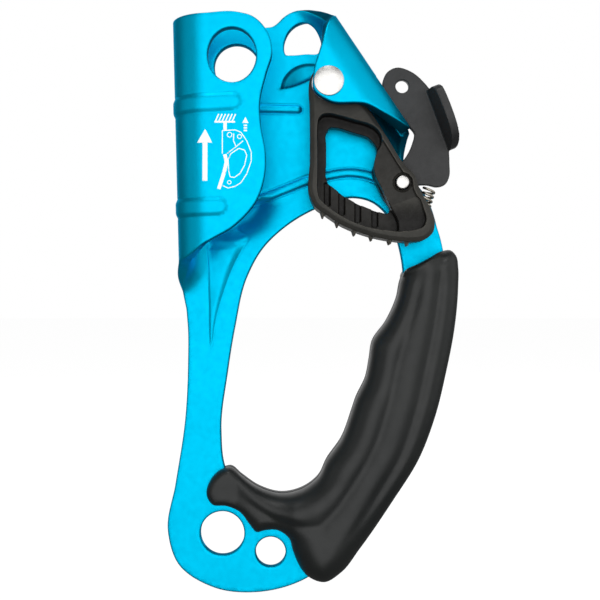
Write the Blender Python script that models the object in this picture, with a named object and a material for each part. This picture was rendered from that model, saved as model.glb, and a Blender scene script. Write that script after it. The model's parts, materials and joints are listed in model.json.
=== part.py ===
"""A handled rope ascender for the right hand, with its toothed cam locked open.

X points right, Z up, and Y from the user to the back plate. The origin is on the axis of the rope
channel, level with the cam's rivet. Lengths are in millimetres until an object is made.
"""

import math

import bmesh
import bpy
import numpy as np
from mathutils import Vector
from mathutils.geometry import delaunay_2d_cdt

MM = 0.001

# Sheet frame: one plate with a half-round bend on each side
SHEET = 4.0
CHANNEL_GAP = 15.0
BEND = (CHANNEL_GAP + SHEET) / 2
HALF_TURN = math.pi * BEND
PLATE_FRONT = BEND - SHEET / 2
PLATE_REAR = BEND + SHEET / 2
GAP = 0.3
LOOP_STEP = 3.4
GRID_STEP = 4.4

# Holes: centre x and z, then half width and half height
MAIN_HOLE = (4.9, -154.6, 7.7, 7.7)
SMALL_HOLE = (21.8, -161.1, 5.25, 5.25)
TOP_HOLE_REAR = (9.9, 8.8, 7.8, 7.8)
TOP_HOLE_FRONT = (9.4, 8.7, 8.1, 9.1)

# Cam, catch and what holds them
PIVOT = (41.7, 0.0)
CATCH_PIN = (66.8, -33.1)
CAM_HALF = 6.0
WEB_FRONT = 1.0
PANEL_FRONT = -4.6
LOW_PANEL_FRONT = -3.0
RIVET_R = 3.0
SLEEVE_R = 4.0
WASHER_R = 5.7
BOSS_R = 6.5
PIN_R = 2.25
CATCH_HALF = 1.5
CATCH_SLOT_HALF = 1.9
SPRING_TOP = (76.5, -34.6)
SPRING_FOOT = (74.1, -43.0)
TOOTH_ROWS = 6
TOOTH_BASE = 1.25
TOOTH_TIP = 0.25
TOOTH_LENGTH = 2.9
CORD_HOLE = (67.0, 0.1)
CORD_HOLE_R = 2.25

# Rivet, rivet washer and the two coil springs
HEAD_R = 4.95
HEAD_HEIGHT = 1.6
HEAD_EDGE = 0.4
RIVET_WASHER_R = 4.9
RIVET_WASHER_THICK = 0.8
WELL_R = 5.9
WELL_FRONT = 1.6
CAM_SPRING = {"turns": 3, "first": 2.3, "pitch": 1.05, "mean": 5.1, "wire": 0.45}
CATCH_SPRING = {"turns": 5, "mean": 1.75, "wire": 0.4}
SPRING_BORE_R = 2.45

# The plate's edges where the grip covers it
HANDLE_EDGE = [(17.5, -175.3), (35.0, -170.0), (47.0, -159.5), (58.0, -143.0), (69.0, -124.0)]
HANDLE_EDGE += [(77.0, -104.0), (82.0, -85.0), (83.4, -66.0), (81.0, -50.1), (75.8, -36.2)]
HANDLE_INNER = [(4.4, -119.0), (6.4, -133.2), (11.5, -140.5), (20.0, -144.8), (30.0, -144.8)]
HANDLE_INNER += [(39.5, -139.5), (48.5, -128.0), (57.0, -112.0), (63.6, -93.0), (67.3, -75.0)]
HANDLE_INNER += [(68.2, -63.0), (66.3, -52.5), (62.9, -43.6)]

# Grip
GRIP_HEIGHT = 10.0
GRIP_ROUND = 9.0
GRIP_EDGE = 1.2
GRIP_STEP = 2.6
# The share of its height that the grip keeps at its lower end, and where it thins out
GRIP_THIN = 0.42
GRIP_THIN_X = -4.0
GRIP_THIN_RUN = 34.0


# ---------------------------------------------------------------- outlines


def smooth(points, step, closed=True):
    """Points about step apart on the smooth curve through the given ones."""
    points = [np.array(p, float) for p in points]
    count = len(points)
    last = count if closed else count - 1

    def point(i):
        if closed:
            return points[i % count]
        if i < 0:
            return 2 * points[0] - points[1]
        return points[i] if i < count else 2 * points[-1] - points[-2]

    def tangent(i):
        before = point(i) - point(i - 1)
        after = point(i + 1) - point(i)
        b, a = np.linalg.norm(before), np.linalg.norm(after)
        return (before * a / b + after * b / a) / (a + b)

    found = []
    for i in range(last):
        start, end = point(i), point(i + 1)
        length = np.linalg.norm(end - start)
        pieces = max(1, round(length / step))
        for j in range(pieces):
            t = j / pieces
            found.append(
                start * (1 + 2 * t) * (1 - t) ** 2
                + tangent(i) * length * t * (1 - t) ** 2
                + end * t * t * (3 - 2 * t)
                + tangent(i + 1) * length * t * t * (t - 1)
            )
    if not closed:
        found.append(points[-1])
    return found


def ellipse(hole, count=32):
    x, z, a, b = hole
    turns = [2 * math.pi * i / count for i in range(count)]
    return [np.array((x + a * math.cos(t), z + b * math.sin(t))) for t in turns]


def circle(centre, radius, count=32):
    return ellipse((centre[0], centre[1], radius, radius), count)


def arc(centre, radius, start, end, count):
    """Points on an arc from start to end degrees, counted from +X towards +Z."""
    turns = [math.radians(start + (end - start) * i / count) for i in range(count + 1)]
    return [(centre[0] + radius * math.cos(t), centre[1] + radius * math.sin(t)) for t in turns]


def capsule(centres, radius, step):
    """The outline of a band of the given half width along a line of points."""
    line = smooth(centres, step, closed=False)
    steps = [b - a for a, b in zip(line, line[1:])]
    steps.append(steps[-1])
    sides = [np.array((-d[1], d[0])) / np.linalg.norm(d) * radius for d in steps]
    left = [p + s for p, s in zip(line, sides)]
    right = [p - s for p, s in zip(line, sides)]
    tip = line[-1] + steps[-1] / np.linalg.norm(steps[-1]) * radius
    tail = line[0] - steps[0] / np.linalg.norm(steps[0]) * radius
    return left + [tip] + right[::-1] + [tail]


def inside(points, loop):
    """Which points lie inside the loop, by counting crossings."""
    points = np.atleast_2d(points)
    a = np.array(loop)
    b = np.roll(a, -1, axis=0)
    x, z = points[:, 0, None], points[:, 1, None]
    spans = (a[:, 1] > z) != (b[:, 1] > z)
    rise = np.where(b[:, 1] == a[:, 1], 1e-12, b[:, 1] - a[:, 1])
    crossing = a[:, 0] + (z - a[:, 1]) * (b[:, 0] - a[:, 0]) / rise
    return (spans & (x < crossing)).sum(axis=1) % 2 == 1


def distance(points, loop):
    """How far each point is from the loop's line."""
    points = np.atleast_2d(points)[:, None, :]
    a = np.array(loop)
    run = np.roll(a, -1, axis=0) - a
    t = ((points - a) * run).sum(axis=2) / np.maximum((run * run).sum(axis=1), 1e-12)
    near = a + np.clip(t, 0, 1)[:, :, None] * run
    return np.linalg.norm(points - near, axis=2).min(axis=1)


def fill(loops, extra):
    """Triangles that fill the first loop but not the others, using the extra points as well."""
    points = [tuple(p) for loop in loops for p in loop]
    edges = []
    start = 0
    for loop in loops:
        edges += [(start + i, start + (i + 1) % len(loop)) for i in range(len(loop))]
        start += len(loop)
    flat = np.array(extra).reshape(-1, 2)
    keep = inside(flat, loops[0])
    for loop in loops:
        keep &= distance(flat, loop) > 0.8
    for loop in loops[1:]:
        keep &= ~inside(flat, loop)
    points += [tuple(p) for p in flat[keep]]
    verts, _, faces = delaunay_2d_cdt(points, edges, [], 0, 1e-7, False)[:3]
    verts = np.array([tuple(v) for v in verts])
    faces = np.array([tuple(f) for f in faces])
    middles = verts[faces].mean(axis=1)
    solid = inside(middles, loops[0])
    for loop in loops[1:]:
        solid &= ~inside(middles, loop)
    faces = faces[solid]
    run = verts[faces]
    area = np.cross(run[:, 1] - run[:, 0], run[:, 2] - run[:, 0])
    faces[area < 0] = faces[area < 0][:, ::-1]
    return verts, faces


def shell(loops, extra, front, rear):
    """A closed body over the loops. front and rear turn flat points into 3D ones."""
    verts, faces = fill(loops, extra)
    ends = np.concatenate([faces[:, [0, 1]], faces[:, [1, 2]], faces[:, [2, 0]]])
    sides = {tuple(e) for e in ends}
    rim = [(a, b) for a, b in sides if (b, a) not in sides]
    count = len(verts)
    body = bmesh.new()
    for place in (front, rear):
        for co in place(verts):
            body.verts.new(co)
    body.verts.ensure_lookup_table()
    for a, b, c in faces:
        body.faces.new([body.verts[i] for i in (a, b, c)])
        body.faces.new([body.verts[count + i] for i in (c, b, a)])
    for a, b in rim:
        body.faces.new([body.verts[i] for i in (b, a, count + a, count + b)])
    for vert in [v for v in body.verts if not v.link_faces]:
        body.verts.remove(vert)
    return body


def prism(loops, y_front, y_rear):
    """A flat piece with its faces at the two depths."""

    def at(y):
        return lambda flat: [(x, y, z) for x, z in flat]

    return shell(loops, [], at(y_front), at(y_rear))


# ---------------------------------------------------------------- folded sheet


class Fold:
    """A half-round bend of the plate. Its line starts at start and runs along; it bends outward."""

    def __init__(self, start, end, side, fade=None):
        self.start = np.array(start, float)
        self.along = (np.array(end, float) - self.start) / math.dist(start, end)
        self.outward = side * np.array((-self.along[1], self.along[0]))
        self.fade = fade

    def measure(self, flat):
        """Distances along the fold's line and out past it."""
        offset = flat - self.start
        return offset @ self.along, offset @ self.outward

    def flat(self, s, w):
        return self.start + s * self.along + w * self.outward

    def front(self, x, z):
        """The flat-pattern place of a point on the part that is folded over to the front."""
        s, off = self.measure(np.array((x, z), float))
        return self.flat(s, HALF_TURN - off)

    def curvature(self, flat):
        if self.fade is None:
            return np.full(len(flat), 1 / BEND)
        high, low = self.fade
        t = np.clip((flat[:, 1] - low) / (high - low), 0, 1)
        return np.maximum(t * t * (3 - 2 * t) / BEND, 1e-7)

    def wrap(self, flat, lift):
        """World points for flat-pattern points that lie lift outside the middle of the sheet."""
        s, w = self.measure(flat)
        k = self.curvature(flat)
        turn = np.minimum(k * w, math.pi)
        past = w - turn / k
        out = np.sin(turn) / k - past + lift * np.sin(turn)
        y = BEND - (1 - np.cos(turn)) / k + lift * np.cos(turn)
        ground = self.start + s[:, None] * self.along + out[:, None] * self.outward
        return np.stack([ground[:, 0], y, ground[:, 1]], axis=1)

    def grid(self, length, width, step):
        """Points in rows along the bend, denser across it than along it."""
        rows = round(width / (HALF_TURN / 8))
        found = []
        for i in range(rows + 1):
            for j in range(int(length / step) + 1):
                found.append(self.flat(j * step, i * HALF_TURN / 8))
        return found


LEFT = Fold((0.0, 26.0), (1.9, -52.0), -1, fade=(-60.0, -72.0))
RIGHT = Fold((33.6, 19.7), (63.0, -24.1), 1)

# Pressed shapes: outline in the flat pattern, flank width, shift of the outer and inner face
BEAD_R = 3.3
RIDGE_R = 1.5


def pressed_shapes():
    upper = capsule([LEFT.front(9.8, -6.8), LEFT.front(0, -7.3), LEFT.flat(33.7, 6.5)], BEAD_R, 3.6)
    lower = capsule([LEFT.front(5.2, -41.7), LEFT.front(0, -41.9), LEFT.flat(67.4, 8.5)], BEAD_R, 3.6)
    upper_ridge = capsule([(4.0, -5.8), (18.0, -5.9), (31.6, -6.3)], RIDGE_R, 4.0)
    rib_line = [(6.0, -39.6), (17.8, -37.6), (27.0, -34.2), (35.1, -31.1), (42.0, -29.4)]
    rib_line += [(49.7, -28.4), (57.0, -29.6), (62.0, -32.0)]
    rib = capsule(rib_line, RIDGE_R, 4.0)
    wedge = [(-2.0, -54.0), (-0.4, -63.0), (0.3, -74.0), (0.0, -83.0), (-0.6, -89.0), (0.8, -91.0)]
    wedge += [(2.2, -89.0), (2.6, -83.0), (3.7, -75.6), (5.0, -68.0), (7.2, -61.0), (10.6, -55.0)]
    wedge += [(13.8, -51.3), (6.0, -51.6)]
    pocket = [(25.4, 1.2), (26.6, 4.4), (29.2, 7.4), (33.0, 9.4), (36.8, 9.6), (38.7, 8.2)]
    pocket += [(38.6, 5.2), (34.0, 3.6)]
    return [
        (upper, 1.6, 0.8, 0.5),
        (lower, 1.6, 0.8, 0.5),
        (upper_ridge, 0.9, -0.5, -0.9),
        (rib, 0.9, -0.5, -0.9),
        (smooth(wedge, 4.0), 1.5, -1.0, -1.2),
        (smooth(pocket, 3.0), 1.6, 1.6, 2.0),
    ]


def relief(flat, shapes):
    outer = np.zeros(len(flat))
    inner = np.zeros(len(flat))
    for loop, flank, out_shift, in_shift in shapes:
        depth = np.where(inside(flat, loop), distance(flat, loop), 0)
        t = np.clip(depth / flank, 0, 1)
        rise = t * t * (3 - 2 * t)
        outer += rise * out_shift
        inner += rise * in_shift
    return outer, inner


def relief_points(shapes):
    """The foot of each pressed shape, and its crest one flank further in."""
    found = []
    for loop, flank, _, _ in shapes:
        found += list(loop)
        for before, point, after in zip(loop[-1:] + loop[:-1], loop, loop[1:] + loop[:1]):
            run = after - before
            side = np.array((-run[1], run[0])) / np.linalg.norm(run)
            for turn in (side, -side):
                crest = point + turn * flank
                if inside(crest, loop)[0] and distance(crest, loop)[0] > 0.9 * flank:
                    found.append(crest)
    return found


def bend_sheet(flat, side, shapes):
    """The folded places of flat-pattern points on the sheet's outer (1) or inner (-1) face."""
    outer, inner = relief(flat, shapes)
    lift = SHEET / 2 + outer if side > 0 else -SHEET / 2 + inner
    world = np.stack([flat[:, 0], BEND + lift, flat[:, 1]], axis=1)
    for fold in (LEFT, RIGHT):
        bent = fold.measure(flat)[1] > 0
        world[bent] = fold.wrap(flat, lift)[bent]
    return world


def frame_outline():
    lobe = [(-7.7, -76.0), (-7.1, -84.0), (-7.1, -94.0), (-8.1, -114.4), (-11.5, -137.2)]
    lobe += [(-14.3, -153.8), (-10.6, -165.3), (1.9, -173.6)]
    fold_end = [RIGHT.flat(60.5, 3.2), RIGHT.flat(55.8, 4.2), RIGHT.flat(52.6, 6.8)]
    fold_end += [RIGHT.flat(50.4, 9.7), RIGHT.flat(49.2, 12.6)]
    before_slot = smooth(lobe + HANDLE_EDGE + fold_end, LOOP_STEP, closed=False)
    slot = [RIGHT.flat(28.9, 12.6), RIGHT.flat(27.5, 13.4), RIGHT.flat(26.9, 14.9)]
    slot += [RIGHT.flat(27.5, 16.4), RIGHT.flat(28.9, 17.2)]
    flap = [(48.4, 17.2), (47.0, 19.6), (44.4, 22.0), (40.2, 24.8), (34.3, 28.1), (26.1, 37.9)]
    flap += [(20.5, 39.8), (16.0, 37.0), (9.8, 30.0), (2.8, 22.0), (2.0, 18.2), (0.9, 14.6)]
    flap += [(-1.0, 11.6), (-4.2, 8.6), (-8.4, 3.7)]
    top = [RIGHT.flat(s, w) for s, w in flap]
    top += [(28.6, 27.7), (25.0, 25.2), (19.8, 22.5), (10.0, 22.5), (0.0, 22.5)]
    top += [LEFT.flat(3.7, HALF_TURN / 2), LEFT.front(0.0, 22.7)]
    flange = [(10.8, 23.1), (16.5, 21.5), (21.1, 16.7), (22.8, 9.8), (20.8, 2.6), (18.7, -7.0)]
    flange += [(19.0, -14.3), (20.6, -24.0), (20.4, -30.8), (17.3, -40.3), (10.4, -48.0)]
    flange += [(0.0, -54.3)]
    top += [LEFT.front(x, z) for x, z in flange]
    lip = [(-21.0, -58.5), (-15.5, -60.3), (-12.2, -62.5), (-10.6, -65.0), (-9.3, -69.0)]
    return before_slot + slot + smooth(top + lip + lobe[:1], LOOP_STEP, closed=False)[:-1]


def finger_opening():
    stem_side = [(50.5, -37.0), (43.5, -38.6), (36.6, -41.3), (27.0, -47.1), (19.0, -54.8)]
    stem_side += [(13.4, -65.0), (9.3, -82.2), (6.6, -98.8)]
    return stem_side + HANDLE_INNER + [(57.5, -38.6)]


def grip_outline():
    outer = [(72.8, -60.5), (77.3, -58.1), (81.8, -55.8), (84.6, -55.3), (86.5, -57.2)]
    outer += [(87.3, -61.6), (87.3, -68.0), (86.0, -82.0)]
    outer += [(83.2, -97.0), (79.0, -114.0), (73.6, -128.0), (64.4, -142.8), (52.8, -159.6)]
    outer += [(46.5, -167.6), (40.6, -171.0), (34.8, -169.0), (31.2, -164.2), (29.6, -160.1)]
    outer += [(28.2, -155.8), (24.0, -153.0), (19.6, -153.2), (17.0, -153.8), (14.6, -151.2)]
    outer += [(11.2, -146.9), (6.6, -144.8), (1.4, -144.2), (-0.5, -141.0), (0.9, -135.6)]
    inner = [(4.2, -132.3), (7.6, -131.3), (11.4, -134.2), (17.5, -138.4), (25.5, -140.7)]
    inner += [(33.4, -138.8), (38.6, -134.6), (41.2, -129.2), (46.5, -121.5), (50.2, -111.6)]
    inner += [(51.6, -107.4), (55.2, -99.6), (56.4, -93.4), (57.4, -87.4), (62.4, -80.0)]
    inner += [(66.0, -72.0), (67.6, -65.0), (68.8, -62.6)]
    return outer + inner


def cam_outline():
    edge = [(35.5, -25.0), (35.6, -38.3), (37.2, -41.4), (40.5, -43.8), (46.0, -47.4)]
    edge += [(52.4, -50.1), (58.3, -51.8), (65.0, -52.9), (70.1, -53.2), (74.4, -52.4)]
    edge += [(77.2, -49.8), (77.7, -46.4), (75.9, -41.2), (73.7, -37.4), (72.0, -33.8)]
    edge += [(70.9, -30.6), (68.2, -28.0), (61.7, -18.0), (55.8, -8.9)]
    boss = arc(PIVOT, BOSS_R, 15, 170, 6)
    return edge + boss + [(35.4, -6.0), (35.5, -12.0)]


def cam_recess():
    edge = [(38.0, -30.0), (38.0, -22.0), (38.0, -14.4), (38.4, -11.6), (39.6, -10.2)]
    edge += [(41.6, -9.8), (45.4, -10.5), (50.7, -12.0), (56.0, -13.6), (58.2, -15.0)]
    edge += [(59.8, -17.8), (59.6, -20.2), (58.3, -22.7), (57.3, -29.4), (60.0, -35.4)]
    edge += [(63.1, -41.8), (65.6, -46.8), (65.6, -49.4), (61.6, -49.4), (57.6, -48.9)]
    edge += [(51.6, -47.2), (45.0, -43.9), (40.6, -40.6), (38.5, -38.4), (38.0, -36.2)]
    return edge


def cam_window():
    edge = [(41.1, -26.0), (41.1, -20.0), (41.2, -15.4), (42.4, -13.7), (44.4, -13.7)]
    edge += [(50.0, -15.4), (55.2, -17.1), (56.8, -18.2), (58.2, -21.6), (58.0, -24.2)]
    edge += [(57.0, -29.4), (58.0, -32.0), (60.6, -37.6), (63.0, -42.4), (62.2, -43.2)]
    edge += [(60.0, -42.8), (55.2, -41.2), (48.3, -37.8), (44.1, -34.7), (41.6, -32.4)]
    edge += [(41.1, -31.0)]
    return edge


def catch_outline():
    edge = [(60.5, 2.3), (61.4, 4.4), (63.3, 6.0), (65.8, 6.6), (68.2, 6.0), (71.6, 4.2)]
    edge += [(74.0, 2.0), (76.5, -0.9), (83.0, -21.5), (83.2, -26.0), (83.0, -31.2)]
    edge += [(81.8, -33.4), (79.0, -34.3), (75.5, -33.6), (71.6, -34.2), (70.6, -36.2)]
    edge += arc(CATCH_PIN, 4.9, -40, -220, 6)
    edge += [(64.3, -28.0), (67.6, -24.9), (70.8, -18.6), (71.3, -16.2), (69.4, -13.6)]
    return edge


# ---------------------------------------------------------------- objects


def material(name, colour, roughness, metallic):
    made = bpy.data.materials.new(name)
    made.use_nodes = True
    shader = made.node_tree.nodes["Principled BSDF"]
    shader.inputs["Base Color"].default_value = (*colour, 1)
    shader.inputs["Roughness"].default_value = roughness
    shader.inputs["Metallic"].default_value = metallic
    made.diffuse_color = (*colour, 1)
    return made


def place(name, body, finish, axis=(0.0, 0.0), parent=None):
    """Makes the body an object whose origin is on the axis through (x, z)."""
    for vert in body.verts:
        vert.co = (vert.co - Vector((axis[0], 0, axis[1]))) * MM
    bmesh.ops.recalc_face_normals(body, faces=body.faces)
    mesh = bpy.data.meshes.new(name)
    body.to_mesh(mesh)
    body.free()
    mesh.materials.append(finish)
    thing = bpy.data.objects.new(name, mesh)
    bpy.context.scene.collection.objects.link(thing)
    thing.location = (axis[0] * MM, 0, axis[1] * MM)
    if parent:
        thing.parent = parent
        thing.location = thing.location - parent.matrix_world.translation
    mesh.shade_smooth()
    mesh.set_sharp_from_angle(angle=math.radians(35))
    return thing


def axis_empty(name, axis, parent=None):
    empty = bpy.data.objects.new(name, None)
    bpy.context.scene.collection.objects.link(empty)
    empty.location = (axis[0] * MM, 0, axis[1] * MM)
    if parent:
        empty.parent = parent
        empty.location = empty.location - parent.matrix_world.translation
    bpy.context.view_layer.update()
    return empty


def cut(thing, name, body, axis=(0.0, 0.0)):
    """Takes a hidden body away from the object."""
    cutter = place(f"{thing.name}_{name}", body, thing.data.materials[0], axis, thing.parent)
    combine(thing, cutter, "DIFFERENCE")


def combine(thing, other, operation):
    other.hide_render = True
    other.display_type = "WIRE"
    modifier = thing.modifiers.new(other.name, "BOOLEAN")
    modifier.operation = operation
    modifier.object = other


def turned(profile, axis, steps=32):
    """A body turned about the line through axis along Y. The profile lists (radius, y)."""
    body = bmesh.new()
    verts = [body.verts.new((r, y, 0)) for r, y in profile]
    edges = [body.edges.new(pair) for pair in zip(verts, verts[1:])]
    if profile[0][0] > 0:
        edges.append(body.edges.new((verts[-1], verts[0])))
    bmesh.ops.spin(
        body,
        geom=verts + edges,
        cent=(0, 0, 0),
        axis=(0, 1, 0),
        angle=2 * math.pi,
        steps=steps,
        use_merge=True,
    )
    bmesh.ops.remove_doubles(body, verts=body.verts, dist=1e-5)
    bmesh.ops.translate(body, verts=body.verts, vec=(axis[0], 0, axis[1]))
    return body


def ring(inner, outer, y_front, y_rear, axis):
    return turned([(inner, y_front), (outer, y_front), (outer, y_rear), (inner, y_rear)], axis)


def wire(name, points, radius, finish, axis, parent):
    """A round wire through the points, as a curve object with closed ends."""
    curve = bpy.data.curves.new(name, "CURVE")
    curve.dimensions = "3D"
    spline = curve.splines.new("POLY")
    spline.points.add(len(points) - 1)
    for spot, (x, y, z) in zip(spline.points, points):
        spot.co = ((x - axis[0]) * MM, y * MM, (z - axis[1]) * MM, 1)
    curve.bevel_depth = radius * MM
    curve.bevel_resolution = 1
    curve.use_fill_caps = True
    curve.materials.append(finish)
    thing = bpy.data.objects.new(name, curve)
    bpy.context.scene.collection.objects.link(thing)
    thing.parent = parent
    thing.location = Vector((axis[0] * MM, 0, axis[1] * MM)) - parent.matrix_world.translation
    return thing


# ---------------------------------------------------------------- sub-parts


def make_frame(finish):
    shapes = pressed_shapes()
    loops = [
        frame_outline(),
        smooth(finger_opening(), LOOP_STEP),
        ellipse(MAIN_HOLE),
        ellipse(SMALL_HOLE, 24),
        ellipse(TOP_HOLE_REAR),
        [LEFT.front(x, z) for x, z in ellipse(TOP_HOLE_FRONT)],
        smooth(carry_hole(), 3.0),
        circle(PIVOT, RIVET_R + GAP, 20),
        [RIGHT.front(x, z) for x, z in circle(PIVOT, RIVET_R + GAP, 20)],
    ]
    extra = relief_points(shapes) + LEFT.grid(98, HALF_TURN, GRID_STEP)
    extra += RIGHT.grid(62, HALF_TURN, GRID_STEP)
    body = shell(
        loops,
        extra,
        lambda flat: bend_sheet(flat, -1, shapes),
        lambda flat: bend_sheet(flat, 1, shapes),
    )
    return place("frame", body, finish)


def carry_hole():
    edge = [(26.5, 15.4), (27.2, 12.9), (29.0, 12.8), (34.0, 13.2), (38.8, 13.7), (39.9, 15.6)]
    edge += [(39.6, 19.4), (37.6, 22.8), (34.6, 24.2), (31.2, 23.6), (28.4, 21.2), (26.9, 18.2)]
    return edge


def grip_half(name, side, finish):
    """One half of the grip: side -1 is the user's side of the plate and 1 the far side."""
    outline = smooth(grip_outline(), LOOP_STEP)
    seam_y = BEND + side * GAP / 2
    low, high = np.min(outline, axis=0), np.max(outline, axis=0)
    xs, zs = [np.arange(a, b, GRIP_STEP) for a, b in zip(low, high)]
    flat = np.array([(x, z) for x in xs for z in zs])
    flat = flat[inside(flat, outline)]
    flat = flat[distance(flat, outline) > GRIP_STEP / 2]

    def crown(points):
        depth = np.minimum(distance(points, outline), GRIP_ROUND)
        round_off = np.sqrt(np.maximum(1 - (1 - depth / GRIP_ROUND) ** 2, 0))
        full = np.clip((points[:, 0] - GRIP_THIN_X) / GRIP_THIN_RUN, GRIP_THIN, 1)
        return (GRIP_EDGE + (GRIP_HEIGHT - GRIP_EDGE) * round_off) * full

    def outside(points):
        tall = crown(points) + SHEET / 2
        return [(x, seam_y + side * h, z) for (x, z), h in zip(points, tall)]

    def seam(points):
        return [(x, seam_y, z) for x, z in points]

    body = shell([outline], flat, outside, seam)
    thing = place(name, body, finish)
    strip = prism([strip_loop()], PLATE_FRONT - GAP, PLATE_REAR + GAP)
    cut(thing, "strip", strip)
    return thing


def strip_loop():
    """The part of the plate that runs inside the grip, one gap wider on each side."""
    wide = []
    for edge in (HANDLE_EDGE, HANDLE_INNER[::-1]):
        line = smooth(edge, LOOP_STEP, closed=False)
        wide += [p + GAP * normal(line, i) for i, p in enumerate(line)]
    return wide + [(-16.0, -119.0), (-16.0, -177.0)]


def normal(line, i):
    """The unit vector to the right of the line at point i."""
    run = line[min(i + 1, len(line) - 1)] - line[max(i - 1, 0)]
    return np.array((run[1], -run[0])) / np.linalg.norm(run)


def make_cam(finish, parent):
    outline = smooth(cam_outline(), 3.6)
    cam = place("cam", prism([outline], -CAM_HALF, CAM_HALF), finish, PIVOT, parent)
    teeth = place("cam_teeth", tooth_cones(), finish, PIVOT, parent)
    combine(cam, teeth, "UNION")
    cut(cam, "recess", prism([smooth(cam_recess(), 4.0)], -9, WEB_FRONT), PIVOT)
    cut(cam, "window", prism([smooth(cam_window(), 4.0)], -2, 9), PIVOT)
    panel = [(59.3, -17.6), (64.4, -26.0), (66.9, -29.9), (68.8, -30.8), (70.1, -32.6)]
    panel += [(70.5, -35.6), (71.6, -37.6), (62.0, -41.4), (56.4, -29.3), (58.2, -22.6)]
    cut(cam, "panel", prism([[np.array(p) for p in panel]], -9, PANEL_FRONT), PIVOT)
    low = [(63.0, -40.6), (70.4, -37.6), (72.2, -38.4), (74.3, -42.5), (75.1, -45.6)]
    low += [(74.0, -48.2), (71.2, -49.3), (65.4, -49.2), (65.8, -46.4)]
    cut(cam, "low_panel", prism([[np.array(p) for p in low]], -9, LOW_PANEL_FRONT), PIVOT)
    slot = [(60.0, -29.0), (64.0, -20.0), (72.0, -20.0), (90.0, -30.0), (90.0, -41.0)]
    slot += [(75.0, -39.6), (71.6, -40.4), (62.0, -38.6)]
    swing = prism([[np.array(p) for p in slot]], -CATCH_SLOT_HALF, CATCH_SLOT_HALF)
    cut(cam, "catch_slot", swing, PIVOT)
    cut(cam, "bore", cylinder(PIVOT, SLEEVE_R + GAP), PIVOT)
    cut(cam, "spring_well", cylinder(PIVOT, WELL_R, WELL_FRONT), PIVOT)
    cut(cam, "pin_bore", cylinder(CATCH_PIN, PIN_R + GAP), PIVOT)
    cut(cam, "spring_bore", spring_bore(), PIVOT)
    return cam


def tooth_cones():
    """Rows of small cones on the cam's curved edge, all pointing down."""
    edge = smooth([(38.6, -42.6), (46.0, -47.4), (58.3, -51.8), (70.1, -53.2)], 0.5, closed=False)
    body = bmesh.new()
    for row in range(TOOTH_ROWS):
        at = edge[round((0.04 + 0.92 * row / (TOOTH_ROWS - 1)) * (len(edge) - 1))]
        depths = (-3.9, 0.0, 3.9) if row % 2 == 0 else (-2.0, 2.0)
        for y in depths:
            cone = bmesh.ops.create_cone(
                body,
                cap_ends=True,
                segments=8,
                radius1=TOOTH_BASE,
                radius2=TOOTH_TIP,
                depth=TOOTH_LENGTH,
            )
            for vert in cone["verts"]:
                x, side, up = vert.co
                vert.co = (at[0] + x, y + side, at[1] - up)
    return body


def spring_bore():
    top, foot = np.array(SPRING_TOP), np.array(SPRING_FOOT)
    run = (top - foot) / np.linalg.norm(top - foot)
    body = bmesh.new()
    length = 16
    cone = bmesh.ops.create_cone(
        body,
        cap_ends=True,
        segments=20,
        radius1=SPRING_BORE_R,
        radius2=SPRING_BORE_R,
        depth=length,
    )
    middle = foot + run * length / 2
    for vert in cone["verts"]:
        x, y, up = vert.co
        vert.co = (middle[0] + run[1] * x + run[0] * up, y, middle[1] - run[0] * x + run[1] * up)
    return body


def make_catch(finish, parent):
    plate = prism([smooth(catch_outline(), 3.4)], -CATCH_HALF, CATCH_HALF)
    catch = place("catch", plate, finish, CATCH_PIN, parent)
    tab = place("catch_tab", thumb_tab(), finish, CATCH_PIN, parent)
    combine(catch, tab, "UNION")
    cut(catch, "pin_hole", cylinder(CATCH_PIN, PIN_R + GAP), CATCH_PIN)
    cut(catch, "cord_hole", cylinder(CORD_HOLE, CORD_HOLE_R), CATCH_PIN)
    return catch


def cylinder(centre, radius, front=-9.0, rear=9.0):
    return turned([(0, front), (radius, front), (radius, rear), (0, rear)], centre, 24)


def thumb_tab():
    """The tab that turns towards the user along the catch's right edge and flares outwards."""
    root = [(75.2, -1.3), (82.5, -21.9)]
    tip = [(76.6, -1.1), (82.1, -17.8)]
    thick = np.array((2.6, 1.0))
    body = bmesh.new()
    rows = []
    for depth, share in ((0.6, 0.0), (-3.0, 0.08), (-11.6, 1.0)):
        row = []
        for start, end in zip(root, tip):
            at = np.array(start) + share * (np.array(end) - np.array(start))
            row.append(body.verts.new((at[0], depth, at[1])))
        for start, end in zip(root[::-1], tip[::-1]):
            at = np.array(start) + share * (np.array(end) - np.array(start)) + thick
            row.append(body.verts.new((at[0], depth, at[1])))
        rows.append(row)
    for near, far in zip(rows, rows[1:]):
        for i in range(4):
            j = (i + 1) % 4
            body.faces.new([near[i], near[j], far[j], far[i]])
    body.faces.new(rows[0][::-1])
    body.faces.new(rows[-1])
    return body


def make_rivet(finish):
    under = -PLATE_REAR - GAP
    bulge = HEAD_HEIGHT - HEAD_EDGE
    ball = (HEAD_R**2 + bulge**2) / (2 * bulge)
    steps = 6
    lean = [math.asin(HEAD_R / ball) * i / steps for i in range(steps + 1)]
    dome = [
        (ball * math.sin(t), under - HEAD_HEIGHT + ball * (1 - math.cos(t))) for t in lean
    ]
    rear = PLATE_REAR + GAP + RIVET_WASHER_THICK + GAP
    profile = dome + [(HEAD_R, under), (RIVET_R, under), (RIVET_R, rear), (4.3, rear)]
    profile += [(4.0, rear + 1.1), (3.0, rear + 1.5), (0, rear + 1.5)]
    return place("cam_rivet", turned(profile, PIVOT), finish, PIVOT)


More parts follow.
